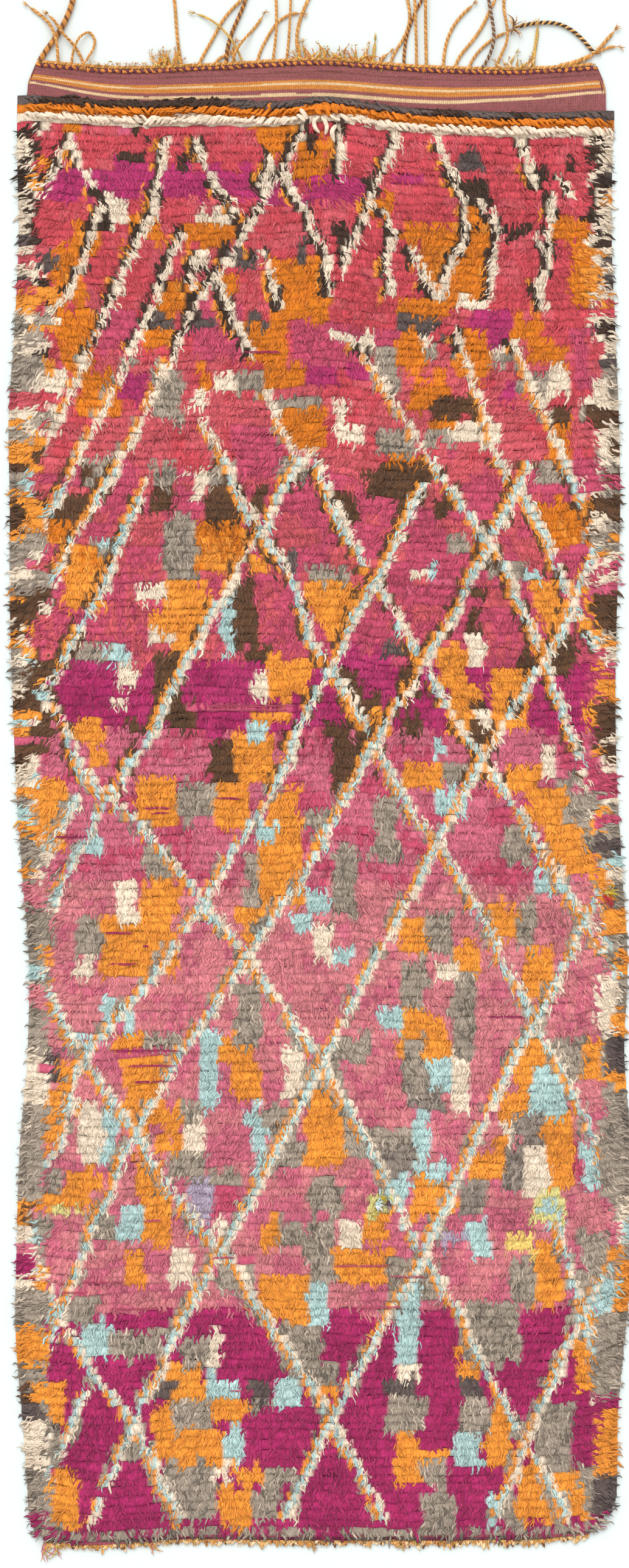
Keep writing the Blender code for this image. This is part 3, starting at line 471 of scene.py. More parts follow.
RIGHT_LOCKS = (
    (20.5, "orange", 3.0, "orange", 5.0), (21.6, "cream", 3.0, "cream", 5.0),
    (22.8, "cream", 0.6, "black", 2.4), (24.6, "cream", 1.0, "black", 2.8),
    (27.2, "slate", 1.4, "cream", 2.6), (28.5, "black", 1.6, "cream", 2.4),
    (30.0, "cream", 1.2, "black", 3.0), (31.6, "orange", 0.4, "black", 2.8),
    (33.0, "cream", 1.0, "black", 2.8), (34.8, "cream", 1.6, "black", 4.5),
    (36.6, "cream", 1.5, "black", 2.4), (38.6, "black", 1.6, "cream", 3.5),
    (40.2, "cream", 1.2, "orange", 3.6), (41.8, "slate", 1.0, "cream", 2.6),
    (43.2, "cream", 1.0, "orange", 4.0), (44.8, "slate", 1.4, "orange", 4.4),
    (46.4, "cream", 1.6, "orange", 4.0), (48.4, "orange", 1.8, "cream", 3.4),
    (50.0, "rose", 4.5, "rose", 5.0), (51.6, "cream", 3.0, "cream", 4.0),
    (53.0, "black", 2.0, "slate", 3.2), (54.8, "cream", 3.2, "rose", 5.0),
    (56.4, "cream", 1.0, "rose", 4.0), (58.0, "slate", 2.4, "rose", 4.0),
    (60.0, "grey", 2.0, "rose", 4.0), (61.6, "grey", 0.8, "cream", 3.4),
    (64.0, "grey", 0.8, "cream", 3.0), (65.4, "cream", 6.0, "cream", 6.0),
    (67.0, "brown", 4.6, "grey", 6.0), (69.0, "cream", 2.0, "brown", 4.0),
    (70.4, "cream", 2.8, "rose", 5.0), (72.4, "brown", 1.6, "cream", 3.0),
    (73.8, "cream", 1.6, "grey", 2.6), (75.6, "grey", 1.8, "cream", 2.8),
    (76.8, "brown", 1.0, "grey", 2.0), (78.0, "magenta", 4.5, "cream", 5.5),
    (80.2, "grey", 1.6, "cream", 3.6), (81.6, "brown", 4.0, "orange", 5.0),
    (84.4, "brown", 1.6, "cream", 3.6), (85.6, "grey", 2.0, "cream", 4.0),
    (87.2, "orange", 1.0, "grey", 3.0), (88.8, "grey", 2.4, "cream", 3.4),
    (90.2, "cream", 1.4, "orange", 3.6), (91.6, "rose", 1.4, "cream", 3.4),
    (93.0, "cream", 1.4, "rose", 3.6), (95.0, "rose", 1.2, "cream", 3.4),
    (96.2, "ground", 3.6, "orange", 5.0), (97.8, "brown", 3.2, "orange", 4.4),
    (103.0, "grey", 1.4, "orange", 2.6), (104.6, "orange", 1.2, "cream", 2.4),
    (106.6, "cream", 1.6, "rose", 3.0), (108.4, "magenta", 1.6, "orange", 2.6),
    (110.6, "orange", 1.8, "magenta", 4.0), (113.6, "orange", 1.4, "magenta", 4.4),
    (115.0, "brown", 2.8, "orange", 4.0), (120.2, "cream", 1.0, "brown", 2.6),
    (122.0, "brown", 1.8, "orange", 3.0), (124.0, "cream", 1.2, "rose", 4.4),
    (126.2, "magenta", 4.0, "cream", 5.0), (130.2, "cream", 1.2, "grey", 3.4),
    (131.8, "grey", 1.4, "orange", 2.8), (133.4, "rose", 3.6, "cream", 4.4),
    (135.2, "grey", 2.0, "orange", 3.0), (137.0, "slate", 3.4, "grey", 5.0),
    (140.0, "blue", 1.4, "grey", 3.0), (142.0, "cream", 1.2, "orange", 3.4),
    (144.2, "grey", 1.4, "orange", 4.0), (146.0, "grey", 2.0, "orange", 3.0),
    (149.2, "orange", 2.6, "grey", 3.4), (153.2, "grey", 1.4, "blue", 2.4),
    (155.8, "orange", 1.0, "grey", 2.4), (158.8, "orange", 0.8, "blue", 2.0),
    (160.6, "grey", 0.8, "cream", 3.8), (165.0, "orange", 1.0, "cream", 3.8),
    (169.8, "slate", 2.2, "grey", 3.0), (176.0, "orange", 2.4, "orange", 4.0),
    (177.6, "grey", 2.6, "grey", 3.0), (184.0, "grey", 4.4, "grey", 4.6),
    (196.2, "cream", 1.0, "grey", 2.6), (200.0, "blue", 0.8, "cream", 1.6),
    (204.0, "grey", 1.4, "orange", 3.0), (207.0, "orange", 1.4, "grey", 3.0),
    (210.0, "orange", 1.6, "blue", 4.4), (215.4, "grey", 4.0, "grey", 4.4),
    (229.0, "berry", 3.0, "cream", 4.0), (231.0, "orange", 2.2, "orange", 2.6),
    (242.0, "slate", 3.0, "grey", 5.0), (248.6, "berry", 3.0, "berry", 4.0),
)
RIM_OVERLAP = 0.8  # how far the tips of the inner locks hide the roots of the outer ones, in squares
HEAD_ROWS = ((0.010, "slate"), (0.027, "amber"), (0.044, "cream"))  # depth below the bare band, yarn
BLACK_ENDS = ((-0.53, -0.17), (0.22, 0.28), (0.37, 0.40))  # stretches of the first row that are black
HEAD_SLANT = (  # across, lean of the first rows from straight down in degrees
    (-0.60, 64),
    (-0.36, 66),
    (-0.30, -66),
    (-0.06, -66),
    (0.04, 62),
    (0.17, 62),
    (0.23, 44),
    (0.60, 42),
)
ROPE_PITCH = 0.0066
ROPE_LOCK = (0.026, 0.0037, 0.0025)  # length, half width and half height of a lock in the first rows
ROPE_SLANT = 0.48
ROPE_POINTS = 8
ROPE_DROP = 0.0040
PULLED_POINTS = 10
WEFT_POINTS = 14
WEFT_GAP = 0.0022
WEFT_RADIUS = 0.0008
ROPE_BREAK = (-0.048, 0.062)  # stretch of the cream row that is pulled out of line
PULLED_LOCKS = (  # points down the lock in tenths of a square, yarn, half width
    (((491, 180), (499, 189), (507, 201)), "cream", 0.0050),
    (((487, 191), (495, 196), (503, 204)), "cream", 0.0044),
    (((527, 193), (517, 201), (518, 213), (527, 223)), "cream", 0.0046),
    (((527, 193), (535, 204), (537, 215), (534, 226)), "cream", 0.0046),
    (((538, 188), (552, 199), (566, 201)), "cream", 0.0030),
    (((558, 190), (566, 196), (574, 204)), "cream", 0.0046),
    (((554, 207), (546, 220), (550, 238)), "cream", 0.0052),
    (((559, 196), (563, 205), (561, 214)), "black", 0.0046),
    (((508, 196), (503, 210), (506, 222)), "black", 0.0046),
    (((530, 175), (538, 184), (541, 196)), "amber", 0.0052),
    (((546, 172), (549, 182), (556, 190)), "amber", 0.0052),
    (((559, 174), (565, 181), (567, 190)), "amber", 0.0046),
    (((516, 180), (523, 187), (529, 192)), "amber", 0.0046),
    (((447, 170), (442, 177), (446, 184)), "amber", 0.0034),
    (((141, 172), (147, 178), (150, 186)), "amber", 0.0040),
    (((156, 174), (161, 181), (166, 187)), "amber", 0.0036),
)
HEAD_TURN = (0.040, 0.050)  # depth to which the pile slants, and from which it hangs straight
FOOT_ROW_DEPTH = 0.016

# Ground cloth
GROUND_COLUMNS = 60
GROUND_ROWS = 100
BAND_SINK = 0.0014
RIB_PITCH = 0.0042
PICK_PITCH = 0.0019
COLUMNS_PER_RIB = 3
BAND_ROWS = 36
STRIPED_ROWS = 30
STRIPED_DEPTH = 0.067
STRIPE_WAVE = 0.0005
BAND_LIFT = 0.0006
RIB_RELIEF = 0.00042
BAND_UNDERLAP = 0.012
BAND_WIDTH = 1.09
BAND_EDGE_DEPTH = 0.0022
FIBRES_A_METRE = 100
BAND_STRIPES = (  # in from the head edge at the middle of the rug, yarn
    (0.000, "plum"),
    (0.008, "aubergine"),
    (0.018, "plum"),
    (0.021, "aubergine"),
    (0.035, "ochre"),
    (0.040, "sand"),
    (0.044, "ochre"),
    (0.053, "aubergine"),
    (0.060, "sand"),
    (0.066, "aubergine"),
)
STRIPE_SPREAD = (  # across, how far apart the stripes are
    (-0.54, 0.60),
    (-0.39, 0.82),
    (-0.15, 0.95),
    (0.00, 1.00),
    (0.24, 1.00),
    (0.33, 0.90),
    (0.51, 0.80),
)

# Pile
PILE_LENGTH = WOVEN_LENGTH - 0.08
RIM_HEIGHT = 0.62  # height at the rim as a share of the height inside
RIM_ROUND = 0.05
RIM_OUTSIDE = 0.030
LOWEST_PILE = 0.0026
BAND_END_HEIGHT = 0.0060
KNOT_COLUMNS = 130
KNOT_ROWS = 164
STRAND_KINDS = (
    # a knot, share kept, rise of each point over the mat, half width, half height, girths, spread,
    # stagger, curl, tone (above 1 for the hairs: a painted highlight), pieces
    (1, 1.0, (-0.0022, 0.0002, 0.0005, 0.0002, -0.0012), 0.0033, 0.0010, (1.0, 1.0, 0.7), 0.10, 0.85,
     0.0007, 0.98, 3),
    (2, 0.42, (-0.0012, 0.0008, 0.0010, -0.0002), 0.0012, 0.0008, (1.0, 0.9), 0.20, 0.95, 0.0014,
     1.07, 2),
)
STRAND_LENGTH = 0.0255
EDGE_LENGTH = 0.001
PILE_TOP = 0.0215
PILE_LUMP = 0.0034
MAT_DEPTH = 0.0026
ROW_WANDER = 0.0044
STEADY_ROWS = 3
ROW_PROFILE = ((0.0, -1.0), (0.2, 0.0), (0.6, -0.1), (1.0, -0.95))  # up a row, share of its relief
ROW_RELIEF = (0.0008, 0.0015)  # at the foot, at the head
SIDE_STEPS = ((0.0140, 0.0), (0.0085, 0.42))  # out from the edge, share of the height there
EDGE_SWEEP = 0.12
EDGE_LEAN = math.radians(72)
DRIFT_LEAN = math.radians(24)
LOCK_LEAN = math.radians(20)
LOCK_PULL = 0.0034
LOCK_WAVE = 0.0026
WAVE_TURNS = 1.15
WAVE_SIZE = 0.020
LOCK_SIZE = 0.017
LOCK_LUMP = 0.0019
PULL_STEP = 0.0015
LOWEST_STRAND = 0.0016
LOWEST_MAT = 0.001
ROOT_SHADE_TIP_HIGHLIGHT = ((0, 0.78), (0.36, 0.98), (0.76, 1.05), (1, 1.09))  # along a strand, share of its tone: painted shade at the root, painted highlight toward the tip
LENGTH_WEAR = ((0, 0), (0.5, 0.01), (1, 0.05))  # along a strand, how far it has faded to cream
PAINTED_VALLEY_SHADE = (0.58, 0.92, 0.95, 0.66)  # up a row, share of its tone: painted shade in the valleys between rows
MAT_OVERHANG = 0.004

# Head cords, as in the part's source, with the colours of their two plies
HEADING_DIAMETER = 0.007
CORD_STEP = 0.018
CORD_REST = 0.0002
CORD_CLEARANCE = 0.0008
HUMP_REACH = 0.038
CORDS = (  # across, length, leans from root to tip in degrees, diameter, plies
    (-0.534, 0.150, (30, 36, 30, 20, 8), 0.0100, "brown_plait"),
    (-0.498, 0.132, (0, -8, -26, -50, -54), 0.0065, "tan"),
    (-0.448, 0.122, (-20, -30, -46, -32, -56), 0.0060, "tan"),
    (-0.262, 0.150, (-14, -6, -4, -10), 0.0065, "tan"),
    (-0.231, 0.160, (26, 30, 28, 42, 48), 0.0065, "tan"),
    (-0.201, 0.036, (20, 62, 66), 0.0060, "tan"),
    (-0.178, 0.158, (0, 14, 24, 20, 4), 0.0080, "mixed"),
    (-0.160, 0.042, (-24, -6, 36), 0.0055, "tan"),
    (-0.146, 0.138, (-20, -34, -52, -74), 0.0050, "olive"),
    (-0.166, 0.113, (12, 34, 40, 30), 0.0060, "tan"),
    (-0.119, 0.138, (14, 26, 34, 60, 98), 0.0060, "tan"),
    (-0.089, 0.152, (10, 4, -2, -2), 0.0060, "tan"),
    (-0.063, 0.152, (8, 4, 2, 2), 0.0055, "tan"),
    (-0.035, 0.160, (-24, 0, 18, 24, 22), 0.0070, "tan"),
    (-0.022, 0.035, (-28, -20, 2), 0.0045, "olive"),
    (0.102, 0.044, (5, 6, 8), 0.0070, "olive"),
    (0.114, 0.030, (22, 46, 60), 0.0070, "tan"),
    (0.135, 0.158, (16, 32, 16, -10, -12), 0.0060, "tan"),
    (0.161, 0.160, (0, 8, 20, 28, 32), 0.0065, "mixed"),
    (0.185, 0.150, (0, -2, -2), 0.0060, "tan"),
    (0.204, 0.152, (-1, -1, 1), 0.0065, "tan"),
    (0.236, 0.142, (3, 10, 26, 42, 52), 0.0065, "tan"),
    (0.258, 0.160, (16, 40, 34, 24, 32), 0.0065, "tan"),
    (0.284, 0.108, (22, 40, 56, 72), 0.0060, "tan"),
    (0.310, 0.158, (36, 18, -6, -10, -2), 0.0070, "brown"),
    (0.336, 0.156, (16, 26, -6, -6, 24), 0.0060, "tan"),
    (0.361, 0.034, (24, 20, 44), 0.0045, "olive"),
    (0.408, 0.084, (-2, 8, 8, 0), 0.0070, "olive"),
)
LOOP = (-0.473, 0.150, (6, 14, 28, 52, 150, 196, 212, 204), 0.0055, "tan")
CORNER_PLAIT = (0.455, 0.076, (84, 70, 64), 0.0090, "tan")
CORNER_CORDS = (  # length, leans from root to tip in degrees, diameter, plies
    (0.176, (-38, -44, -60, -86, -98, -112), 0.0075, "barred"),
    (0.060, (44, 40, 42), 0.0070, "tan"),
    (0.050, (60, 72, 92), 0.0060, "tan"),
)
PLIES = {
    "tan": ("tan", "straw"),
    "mixed": ("tan", "umber"),
    "brown": ("umber", "grey"),
    "brown_plait": ("umber", "tan", "tan"),
    "barred": ("straw", "black"),
    "olive": ("olive", "straw"),
}
PLY_STEP = 0.0018
PLY_SIDES = 5
TWIST_PITCH = 1.55
PLY_OFFSET = 0.27
PLY_RADIUS = 0.29
TIP_FADE = 0.012
BRUSH_POINTS = 6
CORD_BRUSH = 0.12  # thickness of a frayed fibre as a share of its cord's
TUFT_BRUSH = 0.13
TUFT_STEP = 0.005
LIFT_FALL = 0.05
FRAY_STRANDS = 7
FRAY_LENGTH = 0.014
HEAD_TUFTS = (  # middle, width, locks, height
    (-0.290, 0.056, 18, 0.032),
    (-0.012, 0.066, 20, 0.028),
    (0.068, 0.064, 19, 0.031),
    (0.372, 0.060, 13, 0.022),
    (-0.375, 0.110, 22, 0.009),
)
TUFT_YARNS = (("olive", "tan"), ("straw", "sand"), ("olive", "ochre"), ("tan", "ochre"))
TUFT_DIAMETER = 0.0052
TUFT_WAVE = 28
KNOT_PLACE = (0.369, 1.474)
STITCH_PITCH = 0.0068
STITCH_LENGTH = 0.0056
STITCH_WIDTH = 0.0026
STITCH_SLANT = math.radians(28)
STITCH_POINTS = 6
HEADING_LENGTH = 1.08

# Foot ends
FOOT_LOOP_PITCH = 0.0034
FOOT_LOOP_REACH = (0.0075, 0.018)
FOOT_LOOP_POINTS = 7
FOOT_LOOP_YARNS = ("straw", "sand", "umber", "straw", "tan", "sand")
FOOT_CORD_DIAMETER = 0.0050
FOOT_LENGTH = 1.05
FOOT_BUNDLES = (  # across, length, lean, strands
    (-0.524, 0.042, -14, 8),
    (-0.503, 0.038, 12, 8),
    (-0.320, 0.026, 8, 8),
    (-0.012, 0.022, 4, 7),
    (0.163, 0.022, -6, 7),
    (-0.360, 0.018, -8, 5),
    (-0.238, 0.014, 6, 5),
)

# Camera: straight above, so that the frame is as wide as the photo's
FRAME_LENGTH = 2.99
FRAME_MIDDLE = (-0.0093, 0.0336)
LENS = 85.0
SENSOR = 36.0

# Fibres in the wool
FIBRE_WIDTH = 0.0026
FIBRE_LENGTH = 0.013

# Floor and light
FLOOR_COLOUR = (0.73, 0.79, 0.775, 1)
SUN_POWER = 2.1
SUN_SPREAD = math.radians(50)
SUN_LEAN = (math.radians(-40), math.radians(-14), 0)
SURROUND = 0.88

DRAW = np.random.default_rng(SEED)
HASH = np.random.default_rng(SEED + 1).random((256, 256))


def linear(name):
    """A yarn's colour as linear values."""
    srgb = np.array(COLOURS[name]) / 255
    return np.where(srgb <= 0.04045, srgb / 12.92, ((srgb + 0.055) / 1.055) ** 2.4)


PALETTE = np.array([linear(name) for name in COLOUR_NAMES])


def yarn(name):
    return COLOUR_NAMES.index(name)


def curve_through(rows, at, column=1):
    """Values on a smooth curve through a table's rows."""
    places = np.array([row[0] for row in rows], float)
    values = np.array([row[column] for row in rows], float)
    ends = np.arange(len(places))
    low, high = np.maximum(ends - 1, 0), np.minimum(ends + 1, len(places) - 1)
    slopes = (values[high] - values[low]) / (places[high] - places[low])
    at = np.clip(np.asarray(at, float), places[0], places[-1])
    i = np.clip(np.searchsorted(places, at, side="right") - 1, 0, len(places) - 2)
    span = places[i + 1] - places[i]
    t = (at - places[i]) / span
    return (
        (2 * t**3 - 3 * t**2 + 1) * values[i]
        + (t**3 - 2 * t**2 + t) * span * slopes[i]
        + (3 * t**2 - 2 * t**3) * values[i + 1]
        + (t**3 - t**2) * span * slopes[i + 1]
    )


def interpolated(rows, at):
    return np.interp(at, *zip(*rows))


def vary(amount, shape=None):
    """Random amounts around zero, of about the given size."""
    return amount * DRAW.standard_normal(shape)


def chart_place(across, down):
    """A place on the rug in metres from one on the chart in squares."""
    return CHART_LEFT + across * SQUARE, CHART_TOP - down * SQUARE


def drift(x, y, size, turn=0):
    """Smooth noise from -1 to 1, over lumps of about the given size."""
    u = np.asarray(x) / size + 17.3 * turn + 40
    v = np.asarray(y) / size + 31.7 * turn + 90
    i, j = np.floor(u).astype(int), np.floor(v).astype(int)
    f, g = u - i, v - j
    f, g = f * f * (3 - 2 * f), g * g * (3 - 2 * g)

    def corner(a, b):
        return HASH[(i + a) % 256, (j + b) % 256]

    low = corner(0, 0) * (1 - f) + corner(1, 0) * f
    high = corner(0, 1) * (1 - f) + corner(1, 1) * f
    return (low * (1 - g) + high * g) * 2 - 1


def step_smooth(value):
    share = np.clip(value, 0, 1)
    return share * share * (3 - 2 * share)


def head_edge(x):
    return HEAD_Y + curve_through(HEAD_EDGE, x)


def foot_edge(x):
    return FOOT_Y - curve_through(FOOT_EDGE, x)


def pile_head_edge(x):
    return head_edge(x) - curve_through(BAND_LENGTH, x)


def pile_foot_edge(x):
    return foot_edge(x) + PILE_FOOT_MARGIN


def left_edge(y):
    return -curve_through(SELVEDGES, np.asarray(y) - FOOT_Y, 1)


def right_edge(y):
    return curve_through(SELVEDGES, np.asarray(y) - FOOT_Y, 2)


def ripple(x, y):
    """Height of the soft pucker in the bare band, highest at the head edge."""
    near = np.clip(1 - np.abs(x - RIPPLE_MIDDLE) / RIPPLE_WIDTH, 0, 1)
    fall = (y - pile_head_edge(x)) / (head_edge(x) - pile_head_edge(x))
    return RIPPLE_HEIGHT * step_smooth(near) * step_smooth((fall - RIPPLE_START) / (1 - RIPPLE_START))


def in_dash(across, down, dash):
    left, top, right, bottom = dash
    return (across >= left) & (across < right) & (down >= top) & (down < bottom)


def line_reach(across, down, points):
    """Signed distance to a chart line, to its right positive, and far away past its ends."""
    found = np.full(across.shape, 99.0)
    for (ax, ay), (bx, by) in zip(points, points[1:]):
        run, rise = bx - ax, by - ay
        length = math.hypot(run, rise)
        along = ((across - ax) * run + (down - ay) * rise) / length
        side = ((across - ax) * abs(rise) - (down - ay) * run * math.copysign(1, rise)) / length
        here = (along > -0.3) & (along < length + 0.3) & (np.abs(side) < np.abs(found))
        found = np.where(here, side, found)
    return found


def field_yarns(across, down, chance):
    """The field's own bands of colour."""
    wavy = down + FIELD_WOBBLE * drift(across, down, 7, 3)
    found = np.zeros(across.shape, int)
    share = step_smooth(0.5 + 1.4 * drift(across, down * 2.2, 4.5, 5))
    for top, main, second, part in FIELD:
        pick = np.where(share * 0.7 + chance * 0.3 < part * 1.15, yarn(second), yarn(main))
        found = np.where(wavy >= top, pick, found)
    return found


def rim_yarns(found, field, across, down, inward, table, chance):
    """The locks of colour that lie out over the two sides; rose there stands for the field's own."""
    inward = inward + RIM_OVERLAP + 0.6 * drift(across, down, 1.3, 8) + 0.4 * (chance - 0.5)
    wavy = down + 0.5 * drift(across, down, 1.7, 9)
    tops, outer, outer_reach, inner, inner_reach = zip(*table)
    row = np.searchsorted(tops, wavy, side="right") - 1
    for names, reaches in ((inner, inner_reach), (outer, outer_reach)):
        name = np.array([yarn(each) for each in names])[row]
        here = (row >= 0) & (inward < np.array(reaches)[row])
        found = np.where(here, np.where(name == yarn("rose"), field, name), found)
    return found


def dash_yarns(found, across, down, chance):
    """The dashes and the wedges of colour, over what was found so far."""
    wobbly_x = across + DASH_WOBBLE * drift(across, down, 2.2, 1) + 0.7 * (chance - 0.5)
    wobbly_y = down + DASH_WOBBLE * drift(across, down, 1.6, 2)
    for name, dashes in DASHES:
        for dash in dashes:
            found = np.where(in_dash(wobbly_x, wobbly_y, dash), yarn(name), found)
    for left, top, right, point in ORANGE_WEDGES:
        fall = np.clip((wobbly_y - top) / (point - top), 0, 1)
        middle, reach = (left + right) / 2, (right - left) / 2 * (1 - fall)
        here = (wobbly_y >= top) & (wobbly_y < point) & (np.abs(wobbly_x - middle) < reach)
        found = np.where(here, yarn("orange"), found)
    return np.where((found == yarn("orange")) & (down < 86 + 8 * chance), yarn("amber"), found)


def lattice_yarns(found, across, down, chance):
    """The stripes of yarn along the lattice lines, over what was found so far."""
    gaps = 0.5 + 0.5 * drift(across, down, 1.5, 4)
    wavy = across + 0.35 * drift(across, down, 2.8, 6)
    bottoms = (*(style[0] for style in LINE_STYLES[1:]), CHART_LENGTH)
    for points in LATTICE:
        side = line_reach(wavy, down, points)
        for (top, stripes), bottom in zip(LINE_STYLES, bottoms):
            for low, high, name, full in stripes:
                here = (side >= low) & (side < high) & (gaps * 0.8 + chance * 0.2 < full)
                here &= (down >= top) & (down < bottom)
                found = np.where(here, yarn(name), found)
    return found


def yarn_at(x, y, chance):
    """The yarn that the chart gives each place on the pile."""
    across = (x - CHART_LEFT) / SQUARE
    down = (CHART_TOP - y) / SQUARE
    field = field_yarns(across, down, chance)
    found = dash_yarns(field, across, down, chance)
    found = lattice_yarns(found, across, down, chance)
    found = rim_yarns(found, field, across, down, (x - left_edge(y)) / SQUARE, LEFT_LOCKS, chance)
    found = rim_yarns(found, field, across, down, (right_edge(y) - x) / SQUARE, RIGHT_LOCKS, chance)
    depth = pile_head_edge(x) - y
    for deep, name in reversed(HEAD_ROWS):
        found = np.where(depth < deep, yarn(name), found)
    wobbly = x + 0.03 * drift(x, y, 0.04, 7)
    for start, end in BLACK_ENDS:
        here = (depth < HEAD_ROWS[0][0]) & (wobbly > start) & (wobbly < end)
        found = np.where(here, yarn("black"), found)
    low = y - pile_foot_edge(x) < FOOT_ROW_DEPTH
    return np.where(low, np.where(chance < 0.75, yarn("grey"), yarn("berry")), found)


def lay_lean(x, y):
    """The angle from straight down the rug in which the pile lies, to the right positive."""
    lively = 0.55 + 0.45 * step_smooth((y + 0.1) / 0.8)
    lean = DRIFT_LEAN * drift(x, y, 0.16, 11) + LOCK_LEAN * drift(x, y, 0.045, 12)
    from_left = step_smooth(1 - (x - left_edge(y)) / EDGE_SWEEP)
    from_right = step_smooth(1 - (right_edge(y) - x) / EDGE_SWEEP)
    lean = lean * lively * (1 - 0.7 * (from_left + from_right))
    lean = lean + EDGE_LEAN * (from_right - from_left)
    depth = pile_head_edge(x) - y
    top_rows = step_smooth((HEAD_TURN[1] - depth) / (HEAD_TURN[1] - HEAD_TURN[0]))
    sideways = np.radians(curve_through(HEAD_SLANT, x)) + 0.25 * drift(x, y, 0.04, 13)
    return lean * (1 - top_rows) + sideways * top_rows


def pile_height(x, y):
    """Height of the pile's top at a place, falling to the floor outside the rim."""
    inside = np.minimum(x - left_edge(y), right_edge(y) - x)
    inside = np.minimum(inside, y - pile_foot_edge(x))
    top = PILE_TOP + PILE_LUMP * drift(x, y, 0.11, 14) + 0.0016 * drift(x, y, 0.03, 15)
    within = top * (RIM_HEIGHT + (1 - RIM_HEIGHT) * step_smooth(inside / RIM_ROUND))
    outside = top * RIM_HEIGHT * (1 - step_smooth(-inside / RIM_OUTSIDE))
    height = np.maximum(np.where(inside > 0, within, outside), LOWEST_PILE)
    from_band = step_smooth((pile_head_edge(x) - y) / 0.014)
    return height * from_band + BAND_END_HEIGHT * (1 - from_band)


def row_line(x, line):
    """Where a row of knots begins: the line between two rows, which wanders a little."""
    start = pile_foot_edge(x)
    level = start + line / KNOT_ROWS * (pile_head_edge(x) - start)
    inner = np.clip(np.minimum(line / 2, (KNOT_ROWS - line - STEADY_ROWS) / 3), 0, 1)
    wander = drift(x, line * 0.07, 0.14, 16) + 0.5 * drift(x, line * 0.035, 0.035, 17)
    return level + ROW_WANDER * wander * inner


def row_place(x, y):
    """The row that a place is in, and how far up it the place is, from 0 to 1."""
    start = pile_foot_edge(x)
    pitch = (pile_head_edge(x) - start) / KNOT_ROWS
    line = np.floor((y - start) / pitch)
    share = (y - row_line(x, line)) / pitch
    return line + np.floor(share), share - np.floor(share)


def mat_height(x, y, line, share):
    """Height of the matted pile under its loose strands, with a lip and lumps along every row."""
    relief = ROW_RELIEF[0] + (ROW_RELIEF[1] - ROW_RELIEF[0]) * step_smooth((y + 0.5) / 1.4)
    relief = relief * 1.7 * step_smooth(0.35 + 1.0 * drift(x, line * 0.013, 0.06, 18))
    lump = LOCK_LUMP * drift(x, line * LOCK_SIZE * 5.3, LOCK_SIZE, 19)
    deep = np.clip(pile_height(x, y) / PILE_TOP, 0.1, 1)
    return pile_height(x, y) - (MAT_DEPTH - lump - relief * interpolated(ROW_PROFILE, share)) * deep


def knot_yarns():
    """The yarn and the tone of every knot, row by row, seen in the middle of its lay."""
    column, row = np.meshgrid(np.arange(KNOT_COLUMNS) + 0.5, np.arange(KNOT_ROWS) + 0.0)
    rough_y = FOOT_Y + (row + 0.5) / KNOT_ROWS * PILE_LENGTH
    x = left_edge(rough_y) + column / KNOT_COLUMNS * (right_edge(rough_y) - left_edge(rough_y))
    y = row_line(x, row + 0.45)
    lean = lay_lean(x, y)
    seen_x = x + 0.5 * STRAND_LENGTH * np.sin(lean)
    seen_y = y + 0.5 * STRAND_LENGTH * (1 - np.cos(lean))
    chance = DRAW.random(x.shape)
    names = yarn_at(seen_x, seen_y, chance)
    tone = 1 + 0.10 * drift(x, row * 0.11, 0.13, 35) + 0.07 * drift(x, y, 0.03, 36)
    tone = tone + vary(0.05, x.shape)
    return x, names, np.clip(tone, 0.65, 1.4)


def add_mesh(name, points, triangles, tint, fibre, material):
    """A smooth mesh object from arrays, with its colours and its fibre coordinates."""
    mesh = bpy.data.meshes.new(name)
    count = len(triangles)
    mesh.vertices.add(len(points))
    mesh.vertices.foreach_set("co", np.ascontiguousarray(points, np.float32).ravel())
    mesh.loops.add(count * 3)
    mesh.loops.foreach_set("vertex_index", np.ascontiguousarray(triangles, np.int32).ravel())
    mesh.polygons.add(count)
    mesh.polygons.foreach_set("loop_start", np.arange(0, count * 3, 3, dtype=np.int32))
    mesh.update(calc_edges=True)
    mesh.shade_smooth()
    colours = mesh.attributes.new("tint", "FLOAT_COLOR", "POINT")
    rgba = np.ones((len(points), 4), np.float32)
    rgba[:, :3] = tint
    colours.data.foreach_set("color", rgba.ravel())
    strands = mesh.attributes.new("fibre", "FLOAT_VECTOR", "POINT")
    strands.data.foreach_set("vector", np.ascontiguousarray(fibre, np.float32).ravel())
    mesh.materials.append(material)
    made = bpy.data.objects.new(name, mesh)
    bpy.context.scene.collection.objects.link(made)
    return made


def joined(pieces):
    """One set of arrays from several: points, triangles, tint and fibre."""
    starts = np.cumsum([0] + [len(piece[0]) for piece in pieces[:-1]])
    return (
        np.concatenate([piece[0] for piece in pieces]),
        np.concatenate([piece[1] + start for piece, start in zip(pieces, starts)]),
        np.concatenate([piece[2] for piece in pieces]),
        np.concatenate([piece[3] for piece in pieces]),
    )


